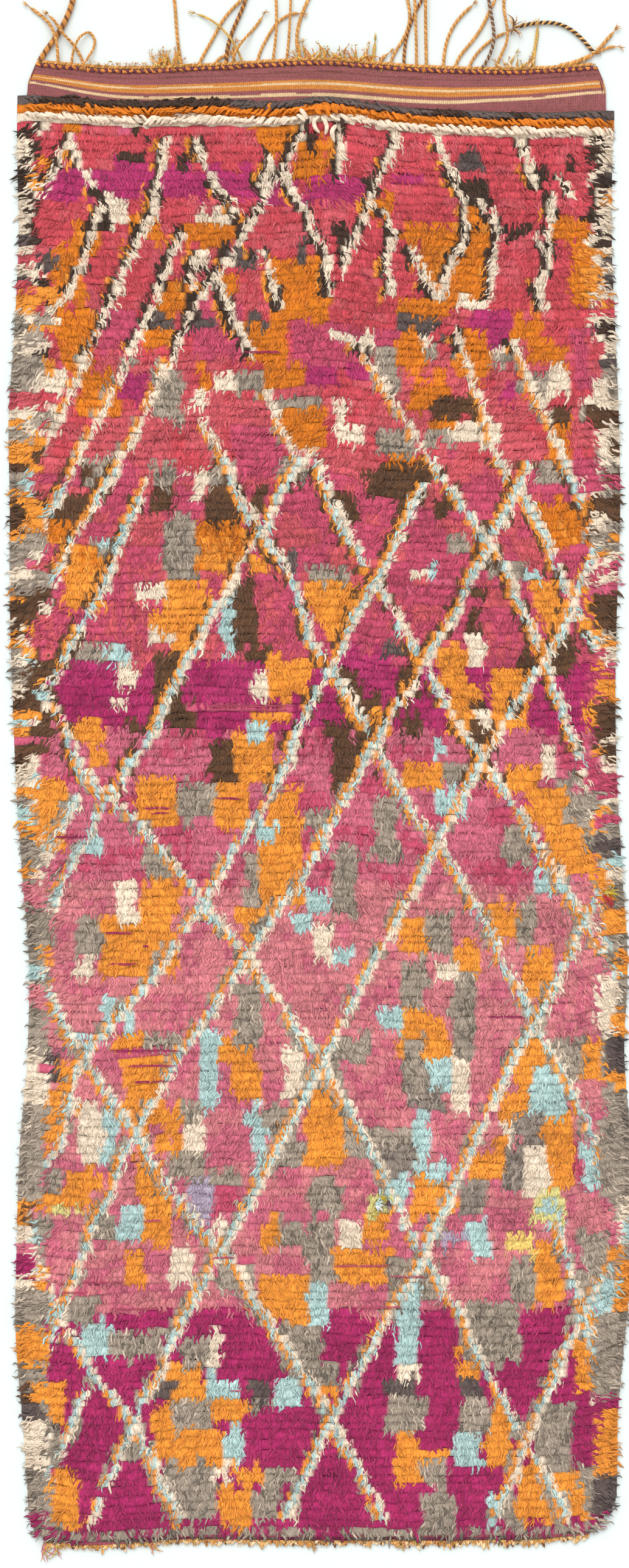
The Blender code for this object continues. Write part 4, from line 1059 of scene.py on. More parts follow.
def tube_arrays(centres, widths, heights, tints, sides):
    """Closed tubes along rows of centres, of which the first and the last are points."""
    count, rings = centres.shape[0], centres.shape[1] - 2
    ahead = centres[:, 2:] - centres[:, :-2]
    ahead /= np.linalg.norm(ahead, axis=2, keepdims=True) + 1e-12
    across = np.cross(ahead, [0.0, 0.0, 1.0])
    across /= np.linalg.norm(across, axis=2, keepdims=True) + 1e-9
    above = np.cross(across, ahead)
    angles = math.pi / 2 + np.arange(sides) * 2 * math.pi / sides
    round_x, round_y = np.cos(angles), np.sin(angles)
    ring = (
        centres[:, 1:-1, None, :]
        + across[:, :, None, :] * (widths[:, :, None] * round_x)[..., None]
        + above[:, :, None, :] * (heights[:, :, None] * round_y)[..., None]
    )
    per = rings * sides + 2
    ring = ring.reshape(count, rings * sides, 3)
    points = np.concatenate([centres[:, :1], ring, centres[:, -1:]], axis=1)
    lengths = np.linalg.norm(np.diff(centres, axis=1), axis=2)
    along = np.concatenate([np.zeros((count, 1)), np.cumsum(lengths, axis=1)], axis=1)
    seed = DRAW.random((count, 1)) * 80
    fibre = np.zeros((count, per, 3))
    thick = widths.max(axis=1, keepdims=True) / FIBRE_WIDTH
    fibre[:, 1:-1, 0] = thick * np.tile(round_x, rings)
    fibre[:, 1:-1, 1] = thick * np.tile(round_y, rings)
    fibre[:, 0, 2], fibre[:, -1, 2] = 0, along[:, -1] / FIBRE_LENGTH
    fibre[:, 1:-1, 2] = np.repeat(along[:, 1:-1], sides, axis=1) / FIBRE_LENGTH
    fibre[:, :, 0] += seed
    fibre[:, :, 2] += seed
    tint = np.concatenate(
        [tints[:, :1], np.repeat(tints[:, 1:-1], sides, axis=1), tints[:, -1:]], axis=1
    )
    faces = [(0, 1 + (k + 1) % sides, 1 + k) for k in range(sides)]
    for r in range(rings - 1):
        for k in range(sides):
            first, second = 1 + r * sides + k, 1 + r * sides + (k + 1) % sides
            faces += [(first, second, second + sides), (first, second + sides, first + sides)]
    last = 1 + (rings - 1) * sides
    faces += [(last + k, last + (k + 1) % sides, per - 1) for k in range(sides)]
    faces = np.array(faces)[:, ::-1]
    triangles = (faces[None] + (np.arange(count) * per)[:, None, None]).reshape(-1, 3)
    return points.reshape(-1, 3), triangles, tint.reshape(-1, 3), fibre.reshape(-1, 3)


def one_tube(path, widths, heights, tint, sides):
    """A single closed tube, with one tint or one for each of its points."""
    tints = np.broadcast_to(tint, (1, len(path), 3))
    return tube_arrays(path[None], widths[None], heights[None], tints, sides)


def grid_triangles(columns, rows, start=0):
    """Triangles over a grid of points that run along the columns first."""
    j, i = np.meshgrid(np.arange(rows), np.arange(columns), indexing="ij")
    a = (start + j * (columns + 1) + i).ravel()
    b, c, d = a + 1, a + columns + 2, a + columns + 1
    return np.concatenate([np.stack([a, b, c], 1), np.stack([a, c, d], 1)])


def with_values(node, values):
    """A shader node with some of its inputs set."""
    for socket, value in values.items():
        node.inputs[socket].default_value = value
    return node


def new_material(name, values):
    """A material with its node tree and its shader."""
    made = bpy.data.materials.new(name)
    made.use_nodes = True
    return made, made.node_tree, with_values(made.node_tree.nodes["Principled BSDF"], values)


def read(tree, name):
    """The outputs of a node that reads an attribute of the mesh."""
    node = tree.nodes.new("ShaderNodeAttribute")
    node.attribute_name = name
    return node.outputs


def noise(tree, at, scale, detail, rough=0.5):
    """The outputs of a noise texture read at the given coordinates."""
    node = tree.nodes.new("ShaderNodeTexNoise")
    with_values(node, {"Scale": scale, "Detail": detail, "Roughness": rough})
    tree.links.new(at, node.inputs["Vector"])
    return node.outputs


def math_node(tree, operation, *values):
    """The result of a sum of numbers and other nodes' outputs."""
    node = tree.nodes.new("ShaderNodeMath")
    node.operation = operation
    for socket, value in zip(node.inputs, values):
        if isinstance(value, (int, float)):
            socket.default_value = value
        else:
            tree.links.new(value, socket)
    return node.outputs["Value"]


def ranged(tree, value, span, target):
    """A value whose given span is spread over a target span."""
    names = ("From Min", "From Max", "To Min", "To Max")
    node = with_values(tree.nodes.new("ShaderNodeMapRange"), dict(zip(names, (*span, *target))))
    tree.links.new(value, node.inputs["Value"])
    return node.outputs["Result"]


def mixed(tree, share, colour, name):
    """A colour with a yarn's own laid over it by a share."""
    mix = tree.nodes.new("ShaderNodeMix")
    mix.data_type = "RGBA"
    mix.inputs[7].default_value = (*linear(name), 1)
    tree.links.new(share, mix.inputs[0])
    tree.links.new(colour, mix.inputs[6])
    return mix.outputs[2]


def dress(tree, shader, colour, tone, height, strength, relief):
    """The colour times the tone, and a bump, into a shader."""
    shade = tree.nodes.new("ShaderNodeVectorMath")
    shade.operation = "SCALE"
    tree.links.new(colour, shade.inputs[0])
    tree.links.new(tone, shade.inputs["Scale"])
    tree.links.new(shade.outputs["Vector"], shader.inputs["Base Color"])
    bump = with_values(tree.nodes.new("ShaderNodeBump"), {"Strength": strength, "Distance": relief})
    tree.links.new(height, bump.inputs["Height"])
    tree.links.new(bump.outputs["Normal"], shader.inputs["Normal"])


def wool(name, rough, relief, sheen):
    """Wool that takes its colour from the yarn, with fine streaks along the fibre."""
    surface = {"Roughness": rough, "Specular IOR Level": 0.2}
    surface |= {"Sheen Weight": sheen, "Sheen Roughness": 0.45}
    made, tree, shader = new_material(name, surface)
    fibre = read(tree, "fibre")["Vector"]
    waves = noise(tree, fibre, 1.1, 2.0)["Color"]
    bent = tree.nodes.new("ShaderNodeVectorMath")
    bent.operation = "MULTIPLY_ADD"
    bent.inputs[1].default_value = (2.4, 2.4, 0.6)
    tree.links.new(waves, bent.inputs[0])
    tree.links.new(fibre, bent.inputs[2])
    streaks = noise(tree, bent.outputs["Vector"], 1.4, 3.0, 0.65)["Fac"]
    # The streaks set both the tone and the bump height: the fibres' own tone, with painted highlight on
    # raised fibres and painted shade on sunk ones.
    tone = ranged(tree, streaks, (0.34, 0.66), (0.62, 1.40))
    dress(tree, shader, read(tree, "tint")["Color"], tone, streaks, 1.0, relief)
    return made


def woven(name, column_pitch, row_pitch, relief, wefts, warps=None):
    """A weave: its colour from the yarns, with raised columns and rows of small knots."""
    surface = {"Roughness": 0.92, "Sheen Weight": 0.15, "Specular IOR Level": 0.15}
    made, tree, shader = new_material(name, surface)
    place = tree.nodes.new("ShaderNodeTexCoord").outputs["Object"]
    split = tree.nodes.new("ShaderNodeSeparateXYZ")
    tree.links.new(place, split.inputs["Vector"])
    column, row = (
        math_node(tree, "SINE", math_node(tree, "MULTIPLY", split.outputs[axis], 2 * math.pi / pitch))
        for axis, pitch in (("X", column_pitch), ("Y", row_pitch))
    )
    beads = math_node(tree, "MULTIPLY", column, row)
    height = math_node(tree, "MULTIPLY_ADD", row, 0.45, beads)
    speck = noise(tree, place, 620.0, 3.0)["Fac"]
    colour = read(tree, "tint")["Color"]
    if wefts:
        colour = mixed(tree, math_node(tree, "GREATER_THAN", row, 0.55), colour, "ground")
    if warps:
        spots = math_node(tree, "MULTIPLY", math_node(tree, "GREATER_THAN", beads, 0.45), speck)
        colour = mixed(tree, spots, colour, warps)
    # Painted light and shade: the tone rises with the weave's height, lighter on the raised knots and
    # darker in the hollows.
    tone = math_node(tree, "MULTIPLY_ADD", height, 0.16, 0.95)
    tone = math_node(tree, "MULTIPLY", tone, ranged(tree, speck, (0.3, 0.7), (0.78, 1.2)))
    dress(tree, shader, colour, tone, math_node(tree, "ADD", height, speck), 0.8, relief)
    return made


def ground_cloth(material):
    """The woven ground as one closed sheet; the knots show their colours on both faces, the top face
    under the pile darkened as painted shade.
    """
    share, up = np.meshgrid(
        np.linspace(0, 1, GROUND_COLUMNS + 1), np.linspace(0, 1, GROUND_ROWS + 1)
    )
    rough_y = FOOT_Y + up * WOVEN_LENGTH
    left = left_edge(rough_y) + SELVEDGE_INSET
    right = right_edge(rough_y) - SELVEDGE_INSET
    x = left + share * (right - left)
    y = foot_edge(x) + up * (head_edge(x) - foot_edge(x))
    low = ripple(x, y)
    in_band = step_smooth((y - pile_head_edge(x)) / 0.004)
    top = np.stack([x, y, GROUND_THICKNESS + low - BAND_SINK * in_band], -1).reshape(-1, 3)
    under = np.stack([x, y, low], -1).reshape(-1, 3)
    count = len(top)
    over = grid_triangles(GROUND_COLUMNS, GROUND_ROWS)
    below = grid_triangles(GROUND_COLUMNS, GROUND_ROWS, count)[:, ::-1]
    index = np.arange(count).reshape(GROUND_ROWS + 1, GROUND_COLUMNS + 1)
    rim = np.concatenate([index[0], index[1:, -1], index[-1, -2::-1], index[-2:0:-1, 0]])
    after = np.roll(rim, -1)
    wall = np.concatenate(
        [np.stack([rim, rim + count, after + count], 1), np.stack([rim, after + count, after], 1)]
    )
    chance = DRAW.random(x.shape)
    knots = PALETTE[yarn_at(x, y, chance)]
    knots = np.where(in_band[..., None] > 0.5, linear("aubergine"), knots)
    shade = (1 + vary(0.12, x.shape))[..., None]
    # The top face, under the pile, is darkened to 0.6 as painted shade; the lower face is set at 0.9.
    tint = np.concatenate([(knots * tone * shade).reshape(-1, 3) for tone in (0.6, 0.9)])
    points = np.concatenate([top, under])
    triangles = np.concatenate([over, below, wall])
    return add_mesh("ground_weave", points, triangles, tint, points * FIBRES_A_METRE, material)


def head_band(material):
    """The bare flat-woven band: raised ribs of weft over the warps, in stripes."""
    ribs = int(BAND_WIDTH / RIB_PITCH)
    columns = ribs * COLUMNS_PER_RIB
    share, up = np.meshgrid(np.linspace(0, 1, columns + 1), np.linspace(0, 1, BAND_ROWS + 1))
    rough = HEAD_Y - curve_through(BAND_LENGTH, share - 0.5) * (1 - up)
    left = left_edge(rough) + SELVEDGE_INSET * 1.2
    right = right_edge(rough) - SELVEDGE_INSET * 1.2
    x = left + share * (right - left)
    phase = share * ribs * 2 * math.pi
    deep = (1 - up) * BAND_ROWS / STRIPED_ROWS * STRIPED_DEPTH
    spread = curve_through(STRIPE_SPREAD, x)
    striped = head_edge(x) - np.minimum(deep, STRIPED_DEPTH) * spread
    rest = np.clip((deep / STRIPED_DEPTH - 1) * STRIPED_ROWS / (BAND_ROWS - STRIPED_ROWS), 0, 1)
    start = pile_head_edge(x) - BAND_UNDERLAP
    y = striped + rest * (start - striped)
    y = y + STRIPE_WAVE * np.cos(phase) * np.clip(deep * 500, 0, 1)
    picks = np.arange(BAND_ROWS + 1)[:, None] * math.pi
    rise = np.cos(phase) * RIB_RELIEF + 0.35 * RIB_RELIEF * np.cos(phase + picks)
    wander = 0.0004 * drift(x, y, 0.03, 21)
    z = GROUND_THICKNESS + BAND_LIFT + ripple(x, y) + rise + wander
    fall = deep + 0.0006 * drift(x, y, 0.05, 22)
    tint = np.broadcast_to(linear("plum"), x.shape + (3,)).copy()
    for place, name in BAND_STRIPES:
        tint = np.where((fall >= place)[..., None], linear(name), tint)
    mottled = 1 + 0.16 * drift(x, y * 12, 0.03, 23) + vary(0.12, x.shape)
    # Painted light and shade on the ribs: their crests lighter and the hollows between them darker,
    # with the rib relief.
    tint = tint * (mottled * (0.93 + 0.12 * np.cos(phase)))[..., None]
    top = np.stack([x, y, z], -1).reshape(-1, 3)
    index = np.arange(len(top)).reshape(BAND_ROWS + 1, columns + 1)
    front, back = index[0], index[-1]
    lower = top[np.concatenate([front, back])] - [0, 0, BAND_EDGE_DEPTH]
    points = np.concatenate([top, lower])
    under_front = len(top) + np.arange(columns + 1)
    under_back = under_front + columns + 1

    def strip(a, b):
        return np.concatenate(
            [np.stack([a[:-1], b[:-1], b[1:]], 1), np.stack([a[:-1], b[1:], a[1:]], 1)]
        )

    sides = []
    for edge, low_a, low_b in ((index[:, 0], under_front[0], under_back[0]),
                               (index[:, -1], under_front[-1], under_back[-1])):
        fan = np.stack([edge[:-1], edge[1:], np.full(BAND_ROWS, low_a)], 1)
        fan = np.concatenate([fan, [[edge[-1], low_b, low_a]]])
        sides.append(fan if edge[0] == index[0, 0] else fan[:, ::-1])
    triangles = np.concatenate(
        [
            grid_triangles(columns, BAND_ROWS),
            strip(front, under_front),
            strip(under_front, under_back),
            strip(under_back, back),
            sides[0][:, ::-1],
            sides[1][:, ::-1],
        ]
    )
    tint = np.concatenate([tint.reshape(-1, 3), np.broadcast_to(linear("plum"), (len(lower), 3))])
    return add_mesh("head_band", points, triangles, tint, points * FIBRES_A_METRE, material)


def strand_roots(a_knot, stagger):
    """The knot of each strand and where the strand starts, from the foot up."""
    column, row = np.meshgrid(np.arange(KNOT_COLUMNS), np.arange(KNOT_ROWS))
    column, row = np.repeat(column.ravel(), a_knot), np.repeat(row.ravel(), a_knot)
    count = len(row)
    which = np.tile(np.arange(a_knot), count // a_knot)
    share = (which + 0.5) / a_knot + 0.5 * (DRAW.random(count) - 0.5)
    share = (column + share) / KNOT_COLUMNS
    rough_y = FOOT_Y + (row + 0.9) / KNOT_ROWS * PILE_LENGTH
    left, right = left_edge(rough_y), right_edge(rough_y)
    x = left + share * (right - left)
    sweep = step_smooth(1 - np.minimum(x - left, right - x) / EDGE_SWEEP)
    sunk = stagger * (DRAW.random(count) - 0.35) + 0.7 * sweep * DRAW.random(count)
    sunk = sunk + 0.55 * drift(x, row * 0.011, 0.018, 38) + 0.40 * drift(x, row * 0.006, 0.06, 39)
    headed = row >= KNOT_ROWS - STEADY_ROWS
    sunk = np.where(headed, 0.3 * sunk, sunk)
    y = row_line(x, np.clip(row + 1.02 - sunk, 0.3, KNOT_ROWS))
    return column, row, x, y, sweep, headed


def strand_lines(x, y, forward, length, proud, curls):
    """Points along the strands on the mat, drawn into locks and waving with their neighbours."""
    count = len(x)
    sideways = np.stack([-forward[:, 1], forward[:, 0]], 1)
    centres = np.empty((count, len(proud), 3))
    curl = vary(curls, count)
    phase = 5 * drift(x, y, WAVE_SIZE, 45) + vary(0.5, count)
    for n, reach in enumerate(np.linspace(0, 1, len(proud))):
        at = np.stack([x, y], 1) + forward * (length * reach)[:, None]
        ahead, behind = at + sideways * PULL_STEP, at - sideways * PULL_STEP
        pull = drift(*ahead.T, LOCK_SIZE, 33) - drift(*behind.T, LOCK_SIZE, 33)
        swing = LOCK_PULL * np.clip(pull * 2.4, -1, 1) * reach**1.3
        swing = swing + (curl * (-1) ** n + vary(0.0005, count)) * (n > 0)
        swing = swing + LOCK_WAVE * (np.sin(2 * math.pi * WAVE_TURNS * reach + phase) - np.sin(phase))
        at = at + sideways * swing[:, None]
        height = mat_height(*at.T, *row_place(*at.T)) + proud[n] + vary(0.0005, count)
        centres[:, n, :2] = at
        centres[:, n, 2] = np.maximum(height, LOWEST_STRAND)
    return centres


def strand_tints(yarns, tone, reaches):
    """Colours along the strands: painted shade at the root, a painted highlight toward the tip, and a
    little faded at the tip.
    """
    # Painted shade darkens each strand at its root, and a painted highlight lightens it toward the tip.
    painted_shading = interpolated(ROOT_SHADE_TIP_HIGHLIGHT, reaches)
    tints = PALETTE[yarns][:, None, :] * (tone[:, None] * painted_shading)[..., None]
    worn = interpolated(LENGTH_WEAR, reaches)[None, :, None] * DRAW.random((len(yarns), 1, 1))
    return np.clip(tints + (PALETTE[yarn("cream")] - tints) * worn, 0.004, 0.97)


def pile_strands(names, tones, kind):
    """The loose strands of one kind, from the foot up: centres, half widths and heights, tints."""
    a_knot, full, proud, half_width, half_height, girths, spread, stagger, curls, level = kind
    column, row, x, y, sweep, headed = strand_roots(a_knot, stagger)
    count = len(row)
    lean = lay_lean(x, y) + vary(spread, count) * np.where(headed, 0.4, 1)
    length = STRAND_LENGTH * (0.82 + 0.36 * DRAW.random(count)) * (1 + 0.2 * drift(x, y, 0.02, 32))
    length = length + EDGE_LENGTH * sweep
    forward = np.stack([np.sin(lean), -np.cos(lean)], 1)
    centres = strand_lines(x, y, forward, length, proud, curls)
    knot = DRAW.random((KNOT_ROWS, KNOT_COLUMNS))[row, column]
    seen = 0.5 * length[:, None] * forward
    rim = yarn_at(x + seen[:, 0], y + seen[:, 1], knot)
    yarns = np.where((sweep > 0.25) & ~headed, rim, names[row, column])
    keep = (yarns != yarn("ground")) & (DRAW.random(count) < full)
    mottle, blotch = np.array([UNEVEN.get(name, EVEN) for name in COLOUR_NAMES])[yarns].T
    patch = 0.6 * drift(x, y, 0.022, 43) + 0.6 * drift(x, y, 0.008, 44) + 0.9 * drift(x, y, 0.07, 46)
    tone = tones[row, column] + mottle * DRAW.standard_normal(count) + blotch * patch
    # The tone level lifts the hairs above the big strands: a painted highlight.
    tints = strand_tints(yarns, np.maximum(tone * level, 0.5), np.linspace(0, 1, len(proud)))
    girth = (0.7 + 0.6 * DRAW.random(count))[:, None] * np.array(girths)
    return centres[keep], half_width * girth[keep], half_height * girth[keep], tints[keep]


def glimpses(material):
    """Short stretches of weft that show between two rows, each a thin wavy yarn in its valley."""
    at = np.linspace(0, 1, WEFT_POINTS)
    wefts = []
    for left, right, down in GLIMPSES:
        for pick in (-0.5, 0.5):
            x, y = chart_place(left + at * (right - left), down)
            x = x + vary(0.003)
            y = y + pick * WEFT_GAP + 0.0010 * drift(x, x * 0, 0.008, 71)
            z = pile_height(x, y) - 0.0006 + 0.0014 * drift(x, x * 0, 0.006, 72)
            girth = WEFT_RADIUS * (1 + vary(0.2, WEFT_POINTS - 2))
            name = "ground" if 90 < down < 130 or down > 200 else "purple"
            # Darkened to about 0.8: painted shade in the valley between rows.
            tint = linear(name) * (0.8 + vary(0.1))
            wefts.append(one_tube(np.stack([x, y, z], 1), girth, girth, tint, 4))
    return add_mesh("weft_glimpses", *joined(wefts), material)


def odd_ends(material):
    """A few loose ends of other yarns that were knotted in by the way."""
    tufts = []
    for across, down, angle, spread, count, length, thickness, yarns in ODD_ENDS:
        root = chart_place(across, down)
        z = float(pile_height(*root)) + 0.0005
        tufts.append(brush(root, math.radians(angle), spread, count, length, yarns, thickness, z))
    return add_mesh("odd_ends", *joined(tufts), material)


def pile_mat(x, names, tones, material):
    """The matted body of the pile: a strip for every row of knots, with a lip at its lower side."""
    outer, share = (np.array(steps) for steps in zip(*SIDE_STEPS))
    left, right = x[:, :1] - MAT_OVERHANG - outer, x[:, -1:] + MAT_OVERHANG + outer[::-1]
    wide = np.concatenate([left, x, right], axis=1)
    drop = np.concatenate([share, np.ones(x.shape[1]), share[::-1]])
    pick = np.clip(np.arange(wide.shape[1]) - len(outer), 0, x.shape[1] - 1)
    colours = PALETTE[names][:, pick] * tones[:, pick, None]
    row = np.arange(KNOT_ROWS)[:, None]
    layers = []
    for place, _ in ROW_PROFILE:
        line = row + place
        y = row_line(wide, np.broadcast_to(line, wide.shape))
        scallop = 0.0030 * drift(wide, (line - place) * LOCK_SIZE * 3.7, LOCK_SIZE, 37) * (place < 0.5)
        z = mat_height(wide, y, line - place, np.full(wide.shape, place))
        z = np.maximum(z * drop + LOWEST_MAT * (1 - drop), LOWEST_MAT)
        layers.append(np.stack([wide, y + scallop - 0.0012 * (place == 0), z], -1))
    points = np.stack(layers, axis=1)
    # Painted shade: each row's strip is darker at its top and at its lip, in the valleys between rows.
    tint = np.clip(colours[:, None] * np.array(PAINTED_VALLEY_SHADE)[None, :, None, None], 0.003, 0.97)
    fibre = points.copy()
    fibre[..., 0] = points[..., 0] / FIBRE_WIDTH + row[..., None] * 7.3
    fibre[..., 1] = 0.3 * row[..., None]
    fibre[..., 2] = points[..., 1] / FIBRE_LENGTH
    strip = grid_triangles(wide.shape[1] - 1, len(layers) - 1)
    per = wide.shape[1] * len(layers)
    triangles = (strip[None] + row[..., None] * per).reshape(-1, 3)
    points, tint, fibre = (values.reshape(-1, 3) for values in (points, tint, fibre))
    return add_mesh("pile_mat", points, triangles, tint, fibre, material)


def rope_lock(x, n, name, middle):
    """One fat lock of the first rows, which lies the way that they slant there."""
    length, half_width, half_height = ROPE_LOCK
    bends = np.linspace(-0.5, 0.5, ROPE_POINTS)
    at = x + vary(0.003)
    hand = math.copysign(1, float(curve_through(HEAD_SLANT, at)))
    slant = ROPE_SLANT * (0.8 + 0.5 * DRAW.random())
    reach = length * (0.8 + 0.45 * DRAW.random())
    down = middle + vary(0.0016) + 0.0012 * float(drift(at, 0, 0.03, 61 + n))
    along = at + bends * reach * math.cos(slant) * hand
    fall = down + bends * reach * math.sin(slant) + 0.0022 * np.sin(2.6 * math.pi * bends + x * 900)
    y = pile_head_edge(at) - fall
    arch = half_height * 1.5 * np.cos(math.pi * bends)
    z = pile_height(along, y) - 0.0002 + arch - 0.0045 * np.abs(bends * 2) ** 3
    girth = (0.75 + 0.45 * DRAW.random()) * np.sqrt(np.clip(1 - (bends[1:-1] * 2) ** 2, 0.1, 1))
    black = name == "slate" and any(low < at < high for low, high in BLACK_ENDS)
    tint = linear("black" if black else name) * (1.05 + vary(0.10))
    # Painted shade and highlight along the lock: darker at its root end toward the head, lighter at its
    # free end.
    tint = tint * np.linspace(0.86, 1.06, ROPE_POINTS)[:, None]
    thin = 0.75 if name != "cream" else 1.0
    return one_tube(np.stack([along, y, z], 1), half_width * thin * girth, half_height * girth, tint, 6)


def pulled_lock(points, name, width):
    """A lock that stands out of the first rows, along its points."""
    route = np.array([chart_place(px / 10, py / 10) for px, py in points])
    steps = np.linspace(0, 1, len(route))
    at = np.linspace(0, 1, PULLED_POINTS)
    x, y = (curve_through(list(zip(steps, route[:, k])), at) for k in (0, 1))
    z = pile_height(x, y) + 0.0025 + 0.002 * np.sin(math.pi * at)
    girth = np.sqrt(np.clip(1 - (at[1:-1] * 2 - 1) ** 2, 0.25, 1)) * width
    return one_tube(np.stack([x, y, z], 1), girth, girth * 0.7, linear(name), 6)


def head_ropes(material):
    """The first rows: fat locks that lie sideways over each other like a loose rope."""
    tops = (0.0, *(deep for deep, name in HEAD_ROWS))
    locks = []
    for n, (deep, name) in enumerate(HEAD_ROWS):
        middle = (tops[n] + deep) / 2 + ROPE_DROP
        for x in np.arange(left_edge(1.3) + 0.01, right_edge(1.3) - 0.008, ROPE_PITCH):
            if name != "cream" or not ROPE_BREAK[0] < x < ROPE_BREAK[1]:
                locks.append(rope_lock(x, n, name, middle))
    locks += [pulled_lock(*pulled) for pulled in PULLED_LOCKS]
    return add_mesh("head_ropes", *joined(locks), material)


def lean_at(leans, share):
    places = [(n / (len(leans) - 1), lean) for n, lean in enumerate(leans)]
    return np.radians(curve_through(places, share))


def cord_route(root, length, leans, step):
    """Points on the floor from a root along a cord that bends as its leans say."""
    steps = max(2, round(length / step))
    fine = 8
    share = (np.arange(steps * fine) + 0.5) / (steps * fine)
    lean = lean_at(leans, share)
    moves = np.stack([np.sin(lean), np.cos(lean)], 1) * length / (steps * fine)
    return np.concatenate([[root], root + np.cumsum(moves, axis=0)[fine - 1 :: fine]])


def laid_heights(route, radius, below):
    """Heights of a cord's points, over the cords that already lie below it."""
    flat = CORD_REST + radius
    heights = np.full(len(route), flat)
    for other, other_heights, other_radius in below:
        for place, lift in zip(other[1:], other_heights[1:]):
            apart = np.linalg.norm(route - place, axis=1)
            over = lift + other_radius + radius + CORD_CLEARANCE
            eased = step_smooth(1 - np.maximum(apart - CORD_STEP / 2, 0) / HUMP_REACH)
            heights = np.maximum(heights, flat + (over - flat) * eased)
    heights[0] = flat
    return heights


def crosses(route, other):
    """Whether two routes cross anywhere past their roots."""

    def side(p, q, r):
        return (q[0] - p[0]) * (r[1] - p[1]) - (q[1] - p[1]) * (r[0] - p[0])

    for a, b in zip(route[1:], route[2:]):
        for c, d in zip(other[1:], other[2:]):
            if side(a, b, c) * side(a, b, d) < 0 and side(c, d, a) * side(c, d, b) < 0:
                return True
    return False


def plied(line, diameter, yarns, hand=1):
    """A twisted cord along a fine line of points: one helical tube for each ply."""
    along = np.concatenate([[0], np.cumsum(np.linalg.norm(np.diff(line, axis=0), axis=1))])
    turn = 2 * math.pi * along / (diameter * TWIST_PITCH) * hand
    ahead = np.gradient(line, axis=0)
    ahead /= np.linalg.norm(ahead, axis=1, keepdims=True)
    across = np.cross(ahead, [0, 0, 1.0])
    across /= np.linalg.norm(across, axis=1, keepdims=True)
    above = np.cross(across, ahead)
    fade = np.clip((along[-1] - along) / TIP_FADE, 0.35, 1)
    pieces = []
    for n, name in enumerate(yarns):
        angle = turn + 2 * math.pi * n / len(yarns)
        offset = diameter * PLY_OFFSET * (1.1 if len(yarns) > 2 else 1) * fade
        path = line + across * (np.cos(angle) * offset)[:, None]
        path = path + above * (np.sin(angle) * offset)[:, None]
        path[:, 2] = np.maximum(path[:, 2], diameter * 0.27)
        radius = diameter * PLY_RADIUS * fade[1:-1]
        tone = 1 + 0.10 * drift(along, along * 0 + n * 3.1, 0.006, 41 + n)
        tone = tone + vary(0.06, len(line))
        pieces.append(one_tube(path, radius, radius, linear(name) * tone[:, None], PLY_SIDES))
    return pieces


def brush(root, angle, spread, count, length, yarns, thickness, z=0.002):
    """Loose fibres that fan out from a root: the frayed end of a cord, or a tuft."""
    share = np.linspace(0, 1, BRUSH_POINTS)
    lean = angle + spread * (DRAW.random(count) - 0.5) * 2
    curl = vary(0.9, count)
    reach = length * (0.55 + 0.6 * DRAW.random(count))
    centres = np.empty((count, BRUSH_POINTS, 3))
    at = np.asarray(root, float)[None, :2] + vary(0.0012, (count, 2))
    for n in range(BRUSH_POINTS):
        bend = lean + curl * share[n] ** 1.4
        if n:
            at = at + np.stack([np.sin(bend), np.cos(bend)], 1) * (reach / (BRUSH_POINTS - 1))[:, None]
        centres[:, n, :2] = at
        arch = np.sin(math.pi * min(share[n] * 1.2, 1)) * 0.004
        centres[:, n, 2] = z + arch * (0.5 + DRAW.random(count)) + 0.0005
    taper = np.linspace(1, 0.6, BRUSH_POINTS - 2)
    radius = thickness * (0.8 + 0.4 * DRAW.random(count))[:, None] * taper
    picks = PALETTE[[yarn(name) for name in yarns]][DRAW.integers(len(yarns), size=count)]
    # Painted shade and highlight along the fibres: darker at the root, lighter toward the tip.
    tone = (1 + vary(0.12, count))[:, None, None] * np.linspace(0.85, 1.1, BRUSH_POINTS)[None, :, None]
    return tube_arrays(centres, radius, radius, picks[:, None, :] * tone, 4)


def fine_line(route, heights, step=PLY_STEP):
    """A smooth line of points through a cord's coarse points and heights."""
    lengths = np.concatenate([[0], np.cumsum(np.linalg.norm(np.diff(route, axis=0), axis=1))])
    at = np.arange(0, lengths[-1], step)
    rows = np.column_stack([lengths, route, heights])
    return np.stack([curve_through(rows, at, column) for column in (1, 2, 3)], 1)


def cord_root(x, lean, diameter):
    """Where a cord with its first lean leaves the heading."""
    back = max(HEADING_DIAMETER * 0.4, diameter / 2 * abs(math.sin(math.radians(lean))))
    return np.array((x, float(head_edge(x)) + 2 * PIECE_GAP + back))


def tuft_lock(middle, width, height, n, place):
    """One frayed yarn of a tuft on the heading, at its place in it from -0.5 to 0.5."""
    x = middle + place * width + vary(0.002)
    diameter = TUFT_DIAMETER * (0.75 + 0.5 * DRAW.random())
    first = math.degrees(place * 0.9) + vary(26)
    leans = first + TUFT_WAVE * DRAW.standard_normal(4).cumsum() * 0.8
    length = height * (0.5 + 0.7 * DRAW.random())
    route = cord_route(cord_root(x, 0, diameter), length, leans, TUFT_STEP)
    lift = diameter / 2 + float(ripple(x, head_edge(x))) + 0.0022 * (n % 3)
    line = fine_line(route, np.linspace(lift, lift + 0.002, len(route)))
    yarns = TUFT_YARNS[DRAW.integers(len(TUFT_YARNS))]
    strands = plied(line, diameter, yarns)
    lean, thickness = math.radians(leans[-1]), diameter * TUFT_BRUSH
    return [*strands, brush(line[-1], lean, 0.4, 3, 0.007, yarns, thickness, line[-1][2] * 0.8)]


